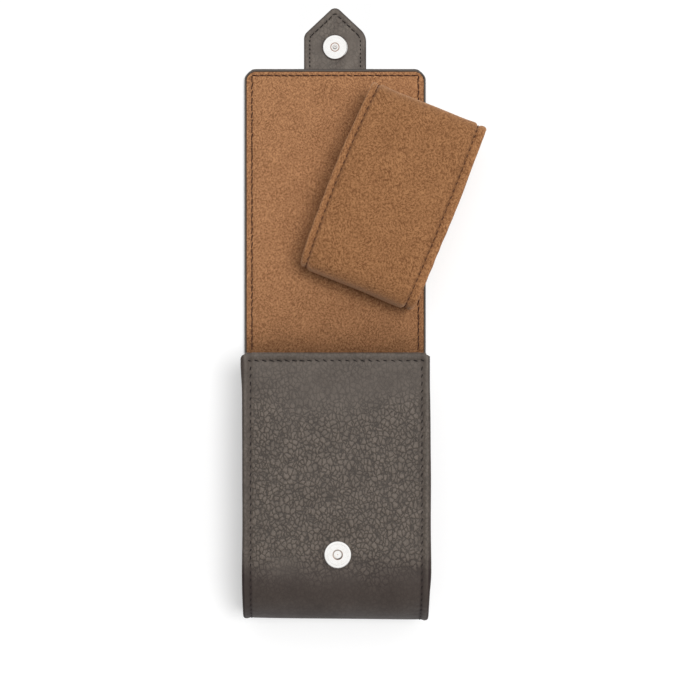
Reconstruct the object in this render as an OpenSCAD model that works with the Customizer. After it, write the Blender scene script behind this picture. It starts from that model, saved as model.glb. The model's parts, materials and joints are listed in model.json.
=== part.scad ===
// Watch travel case: a leather pouch that lies on its back, with a long folding
// flap, a snap tab and a loose suede watch pillow. All sizes are in millimetres.
// Origin: centre of the pouch's flat back. +X right, +Y towards the tab, +Z up.

/* [Pouch] */
// Width of the pouch over its seam lips
pouch_w = 81.2; // [76:0.1:96]
// Height of the pouch from its bottom curve to its mouth
pouch_h = 117.5; // [108:0.5:140]
// Depth of the pouch from its back to its front panel
pouch_d = 46; // [42:0.5:60]
// Outer radius where the front panel curves into the bottom
front_corner_r = 22; // [12:0.5:28]
// Outer radius where the bottom curves into the back
back_corner_r = 8; // [6:0.5:12]
// How far the seam lips stand out past the gussets
seam_lip = 5; // [4.6:0.1:7]
// How far the gussets' top edges sit below the mouth
gusset_drop = 1.5; // [0:0.1:4]

/* [Materials] */
// Thickness of the outer leather
leather_t = 1.2; // [1.1:0.05:1.6]
// Thickness of the stiffening board
board_t = 1.2; // [1.1:0.05:1.6]
// Thickness of the suede lining
lining_t = 0.8; // [0.6:0.05:1.2]
// Thickness of the tab's inner ply
tab_inner_t = 0.8; // [0.7:0.05:1.2]
// Thickness of the tab's outer ply
tab_outer_t = 1.2; // [1.1:0.05:1.6]

/* [Flap] */
// How far the flap stands out past the pouch's lips on each side
flap_overhang = 0.5; // [0:0.1:3]
// How far the tab's snap is centred past the flap's straight end
tab_snap_reach = 9.85; // [9:0.05:14]
// Radius of the flap's two end corners
flap_corner_r = 3.6; // [2.5:0.1:8]
// Width of the soft strip at each fold, where the board is cut back
fold_strip = 4; // [4:0.1:7]
// Space left between the closed flap and the front panel
closed_gap = 2; // [1.8:0.1:4]
// Width of the painted leather edge round the lining
edge_w = 0.9; // [0.6:0.1:1.5]
// How far the painted edge stays below the lining's face
edge_drop = 0.3; // [0.1:0.05:0.6]
// How far the board stops inside the flap's edge
board_inset = 1.6; // [1:0.1:2.4]

/* [Tab] */
// Width of the snap tab
tab_w = 28.2; // [20:0.1:40]
// Length of the tab from the flap's end to its sharp point
tab_l = 28.8; // [25:0.1:40]
// Length of the tab's pointed end
tab_point_l = 13.2; // [9:0.1:14]
// Radius of the tab's point and shoulders
tab_corner_r = 3; // [2:0.1:6]
// Soft length between the flap's end and the stiff tab
tab_bend = 1.1; // [1.1:0.05:2]
// How far the open tab stays above the table
tab_lift_h = 0.2; // [0.1:0.05:0.4]
// Length of the tab's root that is sewn into the flap
tab_root_l = 10; // [6:0.5:20]
// Thickness of the tab's root
tab_root_t = 0.9; // [0.6:0.05:1.1]
// Play between the tab's root and the slot that it is sewn into
tab_root_play = 0.2; // [0.1:0.05:0.4]

/* [Snap] */
// Offset of both snap halves from the centre line
snap_x = 0.5; // [-2:0.1:2]
// Height of the front snap half's centre above the pouch's bottom
snap_rise = 30.75; // [28:0.25:60]
// Diameter of the front snap cup
cup_d = 11.8; // [11:0.1:14]
// Height of the front snap cup over the leather
cup_h = 1.6; // [1.5:0.05:1.9]
// Diameter of the cup's centre hole
cup_bore_d = 3.6; // [3.4:0.05:4]
// Height of the rivet head at the bottom of the centre hole
rivet_h = 0.5; // [0.4:0.05:0.6]
// Wall of the pressed cup
cup_wall = 0.3; // [0.2:0.05:0.4]
// Diameter of the tab's snap plate
plate_d = 11; // [10:0.1:14]
// Height of the tab's snap plate
plate_h = 0.9; // [0.7:0.05:1]
// Diameter of the snap post
post_d = 2.6; // [2:0.05:2.7]
// Height of the snap post over its plate
post_h = 1.3; // [1:0.05:1.5]
// Radius of the rounded rims on both snap halves
rim_r = 0.35; // [0.2:0.05:0.5]
// Diameter of the washers behind the leather
washer_d = 12; // [10:0.1:13]
// Thickness of the washers
washer_t = 0.35; // [0.2:0.05:0.4]
// Width of the bent prongs
prong_w = 2.4; // [1.5:0.1:3]
// Thickness of the bent prongs
prong_t = 0.3; // [0.2:0.05:0.35]
// Distance of each prong from the snap's axis
prong_y = 3; // [2.6:0.1:4]
// Length of each prong's bent end
prong_bend = 2; // [1:0.1:2.4]

/* [Stitching] */
// Distance from stitch to stitch
stitch_pitch = 3.27; // [2.8:0.01:4.5]
// Length of each stitch
stitch_len = 2.5; // [1.5:0.05:2.7]
// Width of the thread
thread_w = 0.6; // [0.4:0.05:0.8]
// Height of the thread
thread_h = 0.3; // [0.2:0.05:0.45]
// Distance of the pouch's stitches from its edges
pouch_stitch_inset = 3.6; // [3.2:0.1:4.2]
// Distance of the pouch's mouth row from the mouth
mouth_stitch_inset = 3; // [2.5:0.1:5]
// Distance of the flap's stitches from its edges
flap_stitch_inset = 3.4; // [3.1:0.1:6]
// Distance of the tab's stitches from its edges
tab_stitch_inset = 2.4; // [2:0.1:3]

/* [Pillow] */
// Length of the pillow round which the watch strap goes
pillow_l = 86.2; // [76:0.1:96]
// Width of the pillow over its two lips
pillow_w = 54.1; // [46:0.1:60]
// Thickness of the pillow at its crown
pillow_t = 30; // [24:0.5:34]
// Squareness of the pillow's section, where 2 is an ellipse
pillow_square = 4.4; // [3:0.1:6]
// How far the pillow is drawn in at its seams, below its crown
pillow_crown = 1.3; // [0.5:0.1:2.5]
// Depth of the sewn seam's furrow
seam_depth = 0.7; // [0.3:0.1:1]
// Width of the lips outside the seams
pillow_lip = 3.4; // [2.4:0.1:5]
// Least thickness of the pillow's cover
cover_t = 1.2; // [0.8:0.1:2]
// Thickness of the pillow's end panels
end_panel_t = 1.2; // [0.8:0.1:2]
// Height of the flat that the pillow rests on, cut off its round underside
pillow_flat = 0.8; // [0.4:0.1:1.2]
// Sideways place of the pillow on the flap
pillow_x = 26.1; // [20:0.1:30]
// Distance of the pillow's centre past the mouth
pillow_y = 68.6; // [60:0.1:75]
// Turn of the pillow on the flap, in degrees
pillow_turn = 22; // [15:1:25]

/* [Fits] */
// Space between the pillow and the lining
rest_gap = 0.3; // [0.25:0.05:0.6]
// Space round the foam core and the end panels inside the pillow's cover
core_gap = 0.1; // [0.05:0.05:0.3]
// Space round pieces that sit in a pocket or slot
pocket_gap = 0.1; // [0.05:0.05:0.2]

/* [Hidden] */
$fn = 64;
eps = 0.01;
arc_steps = 10;

leather_colour = "#625c57";
suede_colour = "#a5764f";
board_colour = "#b9a88c";
foam_colour = "#d9d4c6";
thread_colour = "#2f2a28";
steel_colour = "#e4e2de";
magnet_colour = "#5b5b5e";

// Pouch
wall_t = leather_t + board_t + lining_t;
mouth_y = pouch_h / 2;
low_y = -pouch_h / 2;
snap_y = low_y + snap_rise;
gusset_face_x = pouch_w / 2 - seam_lip;
gusset_skin_x = gusset_face_x - leather_t;
gusset_board_x = gusset_skin_x - board_t;
gusset_lining_x = gusset_board_x - lining_t;
gusset_top = mouth_y - gusset_drop;
seam_x = pouch_w / 2 - pouch_stitch_inset;
front_straight = pouch_h - front_corner_r;
front_arc = PI / 2 * front_corner_r;
bottom_straight = pouch_d - front_corner_r - back_corner_r;
back_arc = PI / 2 * back_corner_r;
seam_length = front_straight + front_arc + bottom_straight + back_arc + pouch_h - back_corner_r;

// Flap, with both fold axes in the middle of its thickness
flap_w = pouch_w + 2 * flap_overhang;
fold_half = fold_strip / 2;
fold_z = wall_t / 2;
back_fold_y = mouth_y + fold_half;
flap_top_l = pouch_d + closed_gap;
front_fold_y = back_fold_y + flap_top_l;
flap_front_l = back_fold_y - snap_y - tab_snap_reach;
flap_end_y = front_fold_y + flap_front_l;
edge_h = wall_t - edge_drop;
flap_stitch_x = flap_w / 2 - flap_stitch_inset;

// Tab
tab_t = tab_inner_t + tab_outer_t;
tab_top_z = tab_lift_h + tab_t;
tab_start_y = flap_end_y + tab_bend;
tab_point_y = flap_end_y + tab_l;
tab_slope = atan(tab_w / 2 / tab_point_l);
tab_snap_y = flap_end_y + tab_snap_reach;
tab_stitch_start = tab_start_y + stitch_pitch / 2;
tab_round_share = 0.8;
tab_side_clear = 1.5;
tab_slope_clear = 4.5;

// Snap
washer_pocket_d = washer_d + 2 * pocket_gap;
pocket_h = washer_t + prong_t + pocket_gap;
slot_w = prong_w + 2 * pocket_gap;
slot_t = prong_t + 2 * pocket_gap;

// Stitches lie in channels, just below the faces that they hold
channel_w = thread_w + pocket_gap;
channel_h = thread_h + pocket_gap;
thread_sink = pocket_gap / 2;

// Pillow
pillow_sides = 40;
pillow_seam_x = pillow_w / 2 - pillow_lip;
furrow_w = 0.9;
lip_round = 0.7;
lip_crown_share = 0.4;
skin_rows = 3;
seam_row_share = 0.8;
pillow_half_l = pillow_l / 2;
pillow_half_t = (pillow_t + pillow_flat) / 2;
pillow_z = wall_t + rest_gap + pillow_half_t - pillow_flat;
bore_inset = pillow_crown + seam_depth + cover_t;
pillow_stations = [
  -pillow_w / 2, -pillow_w / 2 + lip_round, -pillow_seam_x - furrow_w,
  -pillow_seam_x - channel_w / 2, -pillow_seam_x + channel_w / 2, -pillow_seam_x + furrow_w,
  for (k = [1 - skin_rows:skin_rows - 1]) pillow_seam_x * k / skin_rows,
  pillow_seam_x - furrow_w, pillow_seam_x - channel_w / 2, pillow_seam_x + channel_w / 2,
  pillow_seam_x + furrow_w, pillow_w / 2 - lip_round, pillow_w / 2
];

// ---------- Outlines and paths ----------

// Points of an arc round the centre c, from one angle to the other
function arc(c, r, from, to) = [
  for (i = [0:arc_steps])
    let (a = from + (to - from) * i / arc_steps)
    c + r * [cos(a), sin(a)]
];

// The pouch's side outline, in Y and Z, set in by some thickness and open up to top_y
module pouch_outline(inset, top_y) {
  front_r = front_corner_r - inset;
  back_r = back_corner_r - inset;
  y0 = low_y + inset;
  translate([y0 + front_r, inset]) square([top_y - y0 - front_r, pouch_d - 2 * inset]);
  translate([y0, inset + back_r]) square([front_r, pouch_d - 2 * inset - front_r - back_r]);
  translate([y0 + back_r, inset]) square([front_r - back_r, pouch_d / 2]);
  translate([y0 + front_r, pouch_d - inset - front_r]) circle(front_r);
  translate([y0 + back_r, inset + back_r]) circle(back_r);
}

// Stands a Y and Z outline up between two X planes
module between(from_x, to_x) {
  translate([from_x, 0, 0]) rotate([90, 0, 90]) linear_extrude(to_x - from_x) children();
}

// One layer of the wrap: the band between two insets, up to the mouth
module wrap_layer(half_w, outer, inner) {
  between(-half_w, half_w) difference() {
    pouch_outline(outer, mouth_y);
    pouch_outline(inner, mouth_y + eps);
  }
}

// Place on the pouch's side seam at distance s from the mouth: [y, z, outward angle]
function seam_place(s) =
  let (s2 = s - front_straight, s3 = s2 - front_arc, s4 = s3 - bottom_straight, s5 = s4 - back_arc)
  s2 < 0 ? [mouth_y - s, pouch_d, 90] :
  s3 < 0 ? seam_on_arc(
    [low_y + front_corner_r, pouch_d - front_corner_r], front_corner_r, 90 + 90 * s2 / front_arc
  ) :
  s4 < 0 ? [low_y, pouch_d - front_corner_r - s3, 180] :
  s5 < 0 ? seam_on_arc([low_y + back_corner_r, back_corner_r], back_corner_r, 180 + 90 * s4 / back_arc) :
  [low_y + back_corner_r + s5, 0, 270];
function seam_on_arc(c, r, a) = [c[0] + r * cos(a), c[1] + r * sin(a), a];

// One stitch along Y, its top just below z = 0
module stitch() {
  translate([-thread_w / 2, -stitch_len / 2, -thread_sink - thread_h])
    cube([thread_w, stitch_len, thread_h]);
}

// A straight row of stitches along Y, centred on a stretch of the given length
module stitch_row(length) {
  count = floor(length / stitch_pitch);
  for (i = [0:count - 1]) translate([0, (i - (count - 1) / 2) * stitch_pitch, 0]) stitch();
}

// A channel along Y for a row of stitches, cut from z = 0 downwards
module stitch_channel(length) {
  translate([-channel_w / 2, -length / 2, -channel_h]) cube([channel_w, length, channel_h + eps]);
}

// The flap's outline from y0 to its round-cornered end, set in by some width
module flap_end_outline(inset, y0) {
  r = flap_corner_r - inset;
  half = flap_w / 2 - inset;
  end_y = flap_end_y - inset;
  polygon(concat(
    [[-half, y0], [half, y0]],
    arc([half - r, end_y - r], r, 0, 90),
    arc([-half + r, end_y - r], r, 90, 180)
  ));
}

// The tab's pointed outline from y0 outwards, set in by some width
module tab_outline(inset, y0) {
  r = tab_corner_r - inset * tab_round_share;
  half = tab_w / 2 - inset;
  sharp_y = tab_point_y - inset / sin(tab_slope);
  shoulder_y = sharp_y - (r + (half - r) * cos(tab_slope)) / sin(tab_slope);
  polygon(concat(
    [[-half, y0], [half, y0]],
    arc([half - r, shoulder_y], r, 0, tab_slope),
    arc([0, sharp_y - r / sin(tab_slope)], r, tab_slope, 180 - tab_slope),
    arc([-half + r, shoulder_y], r, 180 - tab_slope, 180)
  ));
}

// ---------- Snap shapes ----------

// Places a child at the front snap, z = 0 on the front panel's face
module at_front_snap() translate([snap_x, snap_y, pouch_d]) children();

// Places a child at the tab snap, z = 0 on the tab's inner face
module at_tab_snap() translate([snap_x, tab_snap_y, tab_top_z]) children();

// A round plate with a rounded upper rim
module rimmed_disc(d, h, r = rim_r) {
  cylinder(d = d, h = h - r);
  cylinder(d = d - 2 * r, h = h);
  translate([0, 0, h - r]) rotate_extrude() translate([d / 2 - r, 0]) circle(r);
}

// The two slots that a snap's prongs pass through
module prong_slots(depth) {
  for (side = [-1, 1])
    translate([-slot_w / 2, side * prong_y - slot_t / 2, -depth]) cube([slot_w, slot_t, depth + eps]);
}

// Two prongs that drop through the leather and bend outwards under the washer
module prongs(drop) {
  for (side = [-1, 1]) {
    translate([-prong_w / 2, side * prong_y - prong_t / 2, -drop]) cube([prong_w, prong_t, drop]);
    translate([-prong_w / 2, side * (prong_y + prong_bend / 2) - prong_bend / 2, -drop])
      cube([prong_w, prong_bend, prong_t]);
  }
}

// A washer with a slot for each prong, its top at z = 0
module washer() {
  translate([0, 0, -washer_t]) difference() {
    cylinder(d = washer_d, h = washer_t);
    translate([0, 0, washer_t]) prong_slots(washer_t + eps);
    translate([0, 0, -eps]) cylinder(d = cup_bore_d, h = washer_t + 2 * eps);
  }
}

// ---------- Pouch ----------

module outer_wrap() {
  color(leather_colour) difference() {
    union() {
      wrap_layer(pouch_w / 2, 0, leather_t);
      translate([-pouch_w / 2, mouth_y - leather_t, pouch_d - leather_t - board_t])
        cube([pouch_w, leather_t, leather_t + board_t]);
    }
    for (side = [-1, 1])
      between(side * seam_x - channel_w / 2, side * seam_x + channel_w / 2) difference() {
        pouch_outline(-eps, mouth_y - leather_t);
        pouch_outline(channel_h, mouth_y);
      }
    translate([0, mouth_y - mouth_stitch_inset, pouch_d]) rotate(90) stitch_channel(2 * seam_x);
    at_front_snap() prong_slots(leather_t + eps);
  }
}

module shell_board() {
  color(board_colour) difference() {
    wrap_layer(gusset_skin_x, leather_t, leather_t + board_t);
    translate([-pouch_w / 2, mouth_y - leather_t, pouch_d / 2])
      cube([pouch_w, leather_t + eps, pouch_d / 2]);
    at_front_snap() prong_slots(wall_t);
    at_front_snap() translate([0, 0, -leather_t - board_t - eps])
      cylinder(d = washer_pocket_d, h = pocket_h + eps);
  }
}

module shell_lining() {
  color(suede_colour) wrap_layer(gusset_skin_x, leather_t + board_t, wall_t);
}

// The right gusset: a side wall with a lip turned out under the wrap's edge
module gusset() {
  color(leather_colour) {
    between(gusset_skin_x, gusset_face_x) pouch_outline(leather_t, gusset_top);
    between(gusset_face_x, pouch_w / 2) difference() {
      pouch_outline(leather_t, gusset_top);
      pouch_outline(2 * leather_t, gusset_top + eps);
    }
  }
}

module gusset_board() {
  color(board_colour) between(gusset_board_x, gusset_skin_x) pouch_outline(wall_t, gusset_top);
}

module gusset_lining() {
  color(suede_colour) between(gusset_lining_x, gusset_board_x) pouch_outline(wall_t, gusset_top);
}

module right_gusset() gusset();
module left_gusset() mirror([1, 0, 0]) gusset();
module right_gusset_board() gusset_board();
module left_gusset_board() mirror([1, 0, 0]) gusset_board();
module right_gusset_lining() gusset_lining();
module left_gusset_lining() mirror([1, 0, 0]) gusset_lining();

module pouch_stitching() {
  first = mouth_stitch_inset + stitch_pitch / 2;
  count = floor((seam_length - 2 * first) / stitch_pitch);
  color(thread_colour) {
    for (side = [-1, 1], i = [0:count]) {
      place = seam_place(first + i * stitch_pitch);
      translate([side * seam_x, place[0], place[1]]) rotate([place[2] - 90, 0, 0]) stitch();
    }
    translate([0, mouth_y - mouth_stitch_inset, pouch_d]) rotate(90) stitch_row(2 * seam_x - stitch_pitch);
  }
}

module front_snap_cup() {
  color(steel_colour) at_front_snap() difference() {
    rimmed_disc(cup_d, cup_h);
    translate([0, 0, -eps]) cylinder(d = cup_bore_d, h = cup_h + 2 * eps);
    translate([0, 0, -eps]) difference() {
      cylinder(d = cup_d - 2 * cup_wall, h = cup_h - cup_wall);
      cylinder(d = cup_bore_d + 2 * cup_wall, h = cup_h);
    }
  }
}

module front_snap_rivet() {
  color(steel_colour) at_front_snap() rimmed_disc(cup_bore_d - 2 * pocket_gap, rivet_h, rivet_h / 2);
}

module front_snap_magnet() {
  ring_z = prong_t + pocket_gap;
  color(magnet_colour) at_front_snap() translate([0, 0, ring_z]) difference() {
    cylinder(d = cup_d - 2 * cup_wall - 2 * pocket_gap, h = cup_h - cup_wall - ring_z - pocket_gap);
    translate([0, 0, -eps]) cylinder(d = cup_bore_d + 2 * cup_wall + 2 * pocket_gap, h = cup_h);
  }
}

module front_snap_prongs() {
  color(steel_colour) at_front_snap() {
    difference() {
      cylinder(d = cup_d - 2 * cup_wall - 2 * pocket_gap, h = prong_t);
      translate([0, 0, -eps])
        cylinder(d = cup_bore_d + 2 * cup_wall + 2 * pocket_gap, h = prong_t + 2 * eps);
    }
    prongs(leather_t + board_t - pocket_gap);
  }
}

module front_snap_washer() {
  color(steel_colour) at_front_snap() translate([0, 0, -leather_t - board_t + pocket_h]) washer();
}

// ---------- Flap ----------

// A flap leather across the whole width, its painted edge standing up at both sides
module flap_leather_strip(from_y, to_y) {
  translate([-flap_w / 2, from_y, 0]) cube([flap_w, to_y - from_y, leather_t]);
  for (side = [-1, 1])
    translate([side * (flap_w - edge_w) / 2 - edge_w / 2, from_y, 0]) cube([edge_w, to_y - from_y, edge_h]);
}

// A flap lining between the painted edges, with both stitch channels
module flap_lining_strip(from_y, to_y) {
  difference() {
    translate([-flap_w / 2 + edge_w, from_y, wall_t - lining_t])
      cube([flap_w - 2 * edge_w, to_y - from_y, lining_t]);
    for (side = [-1, 1])
      translate([side * flap_stitch_x, (from_y + to_y) / 2, wall_t])
        stitch_channel(to_y - from_y + 2 * eps);
  }
}

module back_fold_leather() {
  color(leather_colour) flap_leather_strip(back_fold_y - fold_half, back_fold_y + fold_half);
}

module back_fold_lining() {
  color(suede_colour) translate([-gusset_skin_x, back_fold_y - fold_half, wall_t - lining_t])
    cube([2 * gusset_skin_x, fold_strip, lining_t]);
}

module flap_top_leather() {
  color(leather_colour) flap_leather_strip(back_fold_y + fold_half, front_fold_y - fold_half);
}

module flap_top_board() {
  color(board_colour) translate([-flap_w / 2 + board_inset, back_fold_y + fold_half, leather_t])
    cube([flap_w - 2 * board_inset, flap_top_l - fold_strip, board_t]);
}

module flap_top_lining() {
  color(suede_colour) flap_lining_strip(back_fold_y + fold_half, front_fold_y - fold_half);
}

module flap_top_stitching() {
  color(thread_colour) for (side = [-1, 1])
    translate([side * flap_stitch_x, back_fold_y + flap_top_l / 2, wall_t])
      stitch_row(flap_top_l - fold_strip);
}

module front_fold_leather() {
  color(leather_colour) flap_leather_strip(front_fold_y - fold_half, front_fold_y + fold_half);
}

module front_fold_lining() {
  color(suede_colour) flap_lining_strip(front_fold_y - fold_half, front_fold_y + fold_half);
}

// The space that the tab's sewn root fills inside the flap's end
module tab_root_space(play) {
  translate([-tab_w / 2 - play, flap_end_y - tab_root_l - play, leather_t])
    cube([tab_w + 2 * play, tab_root_l + 2 * play, tab_root_t + play]);
}

module flap_front_leather() {
  start_y = front_fold_y + fold_half;
  color(leather_colour) difference() {
    linear_extrude(edge_h) flap_end_outline(0, start_y);
    translate([0, 0, leather_t]) linear_extrude(wall_t) flap_end_outline(edge_w, start_y - edge_w);
    tab_root_space(tab_root_play);
  }
}

module flap_front_board() {
  start_y = front_fold_y + fold_half;
  color(board_colour) difference() {
    translate([0, 0, leather_t]) linear_extrude(board_t) flap_end_outline(board_inset, start_y);
    tab_root_space(tab_root_play);
  }
}

module flap_front_lining() {
  start_y = front_fold_y + fold_half;
  color(suede_colour) difference() {
    translate([0, 0, wall_t - lining_t]) linear_extrude(lining_t) flap_end_outline(edge_w, start_y);
    for (side = [-1, 1])
      translate([side * flap_stitch_x, start_y + (flap_front_l - flap_stitch_inset) / 2, wall_t])
        stitch_channel(flap_front_l - flap_stitch_inset);
    translate([0, flap_end_y - flap_stitch_inset, wall_t])
      rotate(90) stitch_channel(2 * flap_stitch_x + channel_w);
  }
}

module flap_front_stitching() {
  row_l = flap_front_l - fold_half - flap_stitch_inset - thread_w;
  color(thread_colour) {
    for (side = [-1, 1])
      translate([side * flap_stitch_x, front_fold_y + fold_half + row_l / 2, wall_t]) stitch_row(row_l);
    translate([0, flap_end_y - flap_stitch_inset, wall_t]) rotate(90)
      stitch_row(2 * flap_stitch_x - thread_w);
  }
}

// ---------- Tab ----------

module tab_root() {
  color(leather_colour) tab_root_space(0);
}

module tab_bend_leather() {
  color(leather_colour) translate([-tab_w / 2, flap_end_y, leather_t])
    cube([tab_w, tab_bend, tab_root_t]);
}

module tab_outer_leather() {
  color(leather_colour) difference() {
    translate([0, 0, tab_lift_h]) linear_extrude(tab_outer_t) tab_outline(0, tab_start_y);
    at_tab_snap() translate([0, 0, -tab_inner_t - pocket_h])
      cylinder(d = washer_pocket_d, h = pocket_h + eps);
  }
}

module tab_inner_leather() {
  color(leather_colour) difference() {
    translate([0, 0, tab_lift_h + tab_outer_t]) linear_extrude(tab_inner_t) tab_outline(0, tab_start_y);
    at_tab_snap() prong_slots(tab_inner_t + eps);
    translate([0, 0, tab_top_z - channel_h]) linear_extrude(channel_h + eps) difference() {
      tab_outline(tab_stitch_inset - channel_w / 2, tab_start_y + eps);
      tab_outline(tab_stitch_inset + channel_w / 2, tab_start_y);
    }
  }
}

module tab_stitching() {
  half = tab_w / 2 - tab_stitch_inset;
  sharp_y = tab_point_y - tab_stitch_inset / sin(tab_slope);
  shoulder_y = sharp_y - half / tan(tab_slope);
  side_l = shoulder_y - tab_stitch_start - tab_side_clear;
  slope_l = half / sin(tab_slope) - tab_slope_clear;
  color(thread_colour) for (side = [-1, 1]) {
    translate([side * half, tab_stitch_start + side_l / 2, tab_top_z]) stitch_row(side_l);
    translate([side * half / 2, (shoulder_y + sharp_y) / 2, tab_top_z])
      rotate(side * tab_slope) stitch_row(slope_l);
  }
}

module tab_snap_plate() {
  color(steel_colour) at_tab_snap() difference() {
    rimmed_disc(plate_d, plate_h);
    translate([0, 0, -eps]) cylinder(d = post_d + pocket_gap / 2, h = plate_h + 2 * eps);
    translate([0, 0, -eps]) cylinder(d = plate_d - 2 * cup_wall, h = prong_t + pocket_gap + eps);
  }
}

module tab_snap_post() {
  color(steel_colour) at_tab_snap() translate([0, 0, prong_t])
    rimmed_disc(post_d, plate_h - prong_t + post_h);
}

module tab_snap_prongs() {
  color(steel_colour) at_tab_snap() {
    cylinder(d = plate_d - 2 * cup_wall - 2 * pocket_gap, h = prong_t);
    prongs(tab_inner_t + pocket_h - pocket_gap);
  }
}

module tab_snap_washer() {
  color(steel_colour) at_tab_snap() translate([0, 0, -tab_inner_t]) washer();
}

// ---------- Pillow ----------

// Places a child at the pillow's centre, turned as the pillow lies
module at_pillow() {
  translate([pillow_x, mouth_y + pillow_y, pillow_z]) rotate(-pillow_turn) children();
}

// A number's power that keeps its sign
function signed_pow(v, p) = sign(v) * pow(abs(v), p);

// One point of the pillow's squarish section, flat underneath: [y, z]
function section_point(half_l, half_t, angle, floor_z) = [
  half_l * signed_pow(cos(angle), 2 / pillow_square),
  max(half_t * signed_pow(sin(angle), 2 / pillow_square), floor_z)
];

// How far the pillow's skin lies below its crown at a distance x from its middle
function skin_drop(x) =
  abs(x) > pillow_seam_x + furrow_w / 2
    ? pillow_crown * lip_crown_share + (abs(x) > pillow_w / 2 - eps ? lip_round : 0) :
  abs(x) > pillow_seam_x - furrow_w / 2 ? pillow_crown + seam_depth :
  pillow_crown * pow(x / pillow_seam_x, 2);

pillow_floor = -pillow_half_t + pillow_flat;

// The ring of skin points at one station
function skin_ring(x) = [
  for (i = [0:pillow_sides - 1])
    let (
      half_l = pillow_half_l - skin_drop(x),
      half_t = pillow_half_t - skin_drop(x),
      p = section_point(half_l, half_t, 360 * i / pillow_sides, pillow_floor)
    )
    [x, p[0], p[1]]
];

// The ring of the straight bore inside the cover at one station
function bore_ring(x) = [
  for (i = [0:pillow_sides - 1])
    let (p = bore_point(360 * i / pillow_sides, 0))
    [x, p[0], p[1]]
];
function bore_point(angle, inset) = section_point(
  pillow_half_l - bore_inset - inset, pillow_half_t - bore_inset - inset, angle,
  pillow_floor + cover_t + inset
);

// Two triangles for each pair of neighbours on two rings of points
function ring_faces(a, b) = [
  for (i = [0:pillow_sides - 1])
    let (j = (i + 1) % pillow_sides)
    each [[a + i, b + i, b + j], [a + i, b + j, a + j]]
];

module pillow_cover() {
  last = len(pillow_stations) - 1;
  bore_start = (last + 1) * pillow_sides;
  points = concat(
    [for (x = pillow_stations) each skin_ring(x)],
    bore_ring(pillow_stations[0]),
    bore_ring(pillow_stations[last])
  );
  faces = concat(
    [for (k = [0:last - 1]) each ring_faces(k * pillow_sides, (k + 1) * pillow_sides)],
    ring_faces(last * pillow_sides, bore_start + pillow_sides),
    ring_faces(bore_start + pillow_sides, bore_start),
    ring_faces(bore_start, 0)
  );
  color(suede_colour) at_pillow() polyhedron(points = points, faces = faces, convexity = 4);
}

// A slice of the pillow's bore between two X planes
module bore_slice(from_x, to_x) {
  between(from_x, to_x)
    polygon([for (i = [0:pillow_sides - 1]) bore_point(360 * i / pillow_sides, core_gap)]);
}

module pillow_right_end() {
  color(suede_colour) at_pillow()
    bore_slice(pillow_seam_x - end_panel_t / 2, pillow_seam_x + end_panel_t / 2);
}

module pillow_left_end() {
  color(suede_colour) at_pillow()
    bore_slice(-pillow_seam_x - end_panel_t / 2, -pillow_seam_x + end_panel_t / 2);
}

module pillow_core() {
  half = pillow_seam_x - end_panel_t / 2 - core_gap;
  color(foam_colour) at_pillow() bore_slice(-half, half);
}

// Stitches across the top of both seams, lying in their furrows
module pillow_stitching() {
  half_l = pillow_half_l - pillow_crown - seam_depth;
  half_t = pillow_half_t - pillow_crown - seam_depth;
  count = floor(half_l * seam_row_share / stitch_pitch);
  color(thread_colour) at_pillow() for (side = [-1, 1], i = [-count:count]) {
    y = i * stitch_pitch;
    z = half_t * pow(1 - pow(abs(y) / half_l, pillow_square), 1 / pillow_square);
    slope = -half_t / half_l * signed_pow(y / half_l, pillow_square - 1)
      * pow(z / half_t, 1 - pillow_square);
    translate([side * pillow_seam_x, y, z]) rotate([atan(slope), 0, 0])
      translate([0, 0, thread_h + 2 * thread_sink + pocket_gap / 2]) stitch();
  }
}

outer_wrap();
shell_board();
shell_lining();
left_gusset();
right_gusset();
left_gusset_board();
right_gusset_board();
left_gusset_lining();
right_gusset_lining();
pouch_stitching();
front_snap_cup();
front_snap_rivet();
front_snap_magnet();
front_snap_prongs();
front_snap_washer();
back_fold_leather();
back_fold_lining();
flap_top_leather();
flap_top_board();
flap_top_lining();
flap_top_stitching();
front_fold_leather();
front_fold_lining();
flap_front_leather();
flap_front_board();
flap_front_lining();
flap_front_stitching();
tab_root();
tab_bend_leather();
tab_outer_leather();
tab_inner_leather();
tab_stitching();
tab_snap_plate();
tab_snap_post();
tab_snap_prongs();
tab_snap_washer();
pillow_cover();
pillow_left_end();
pillow_right_end();
pillow_core();
pillow_stitching();
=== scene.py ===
"""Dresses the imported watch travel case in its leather, suede, thread and metal.

Lengths are in metres, and places are in the part's own frame: +X across the front
panel, +Y from the pouch towards the snap tab, +Z up out of the front panel.
"""

import json
import logging
import math
from collections.abc import Callable
from dataclasses import dataclass
from enum import Enum, IntEnum

import bmesh
import bpy
import numpy as np
from mathutils import Matrix, Vector


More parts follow.
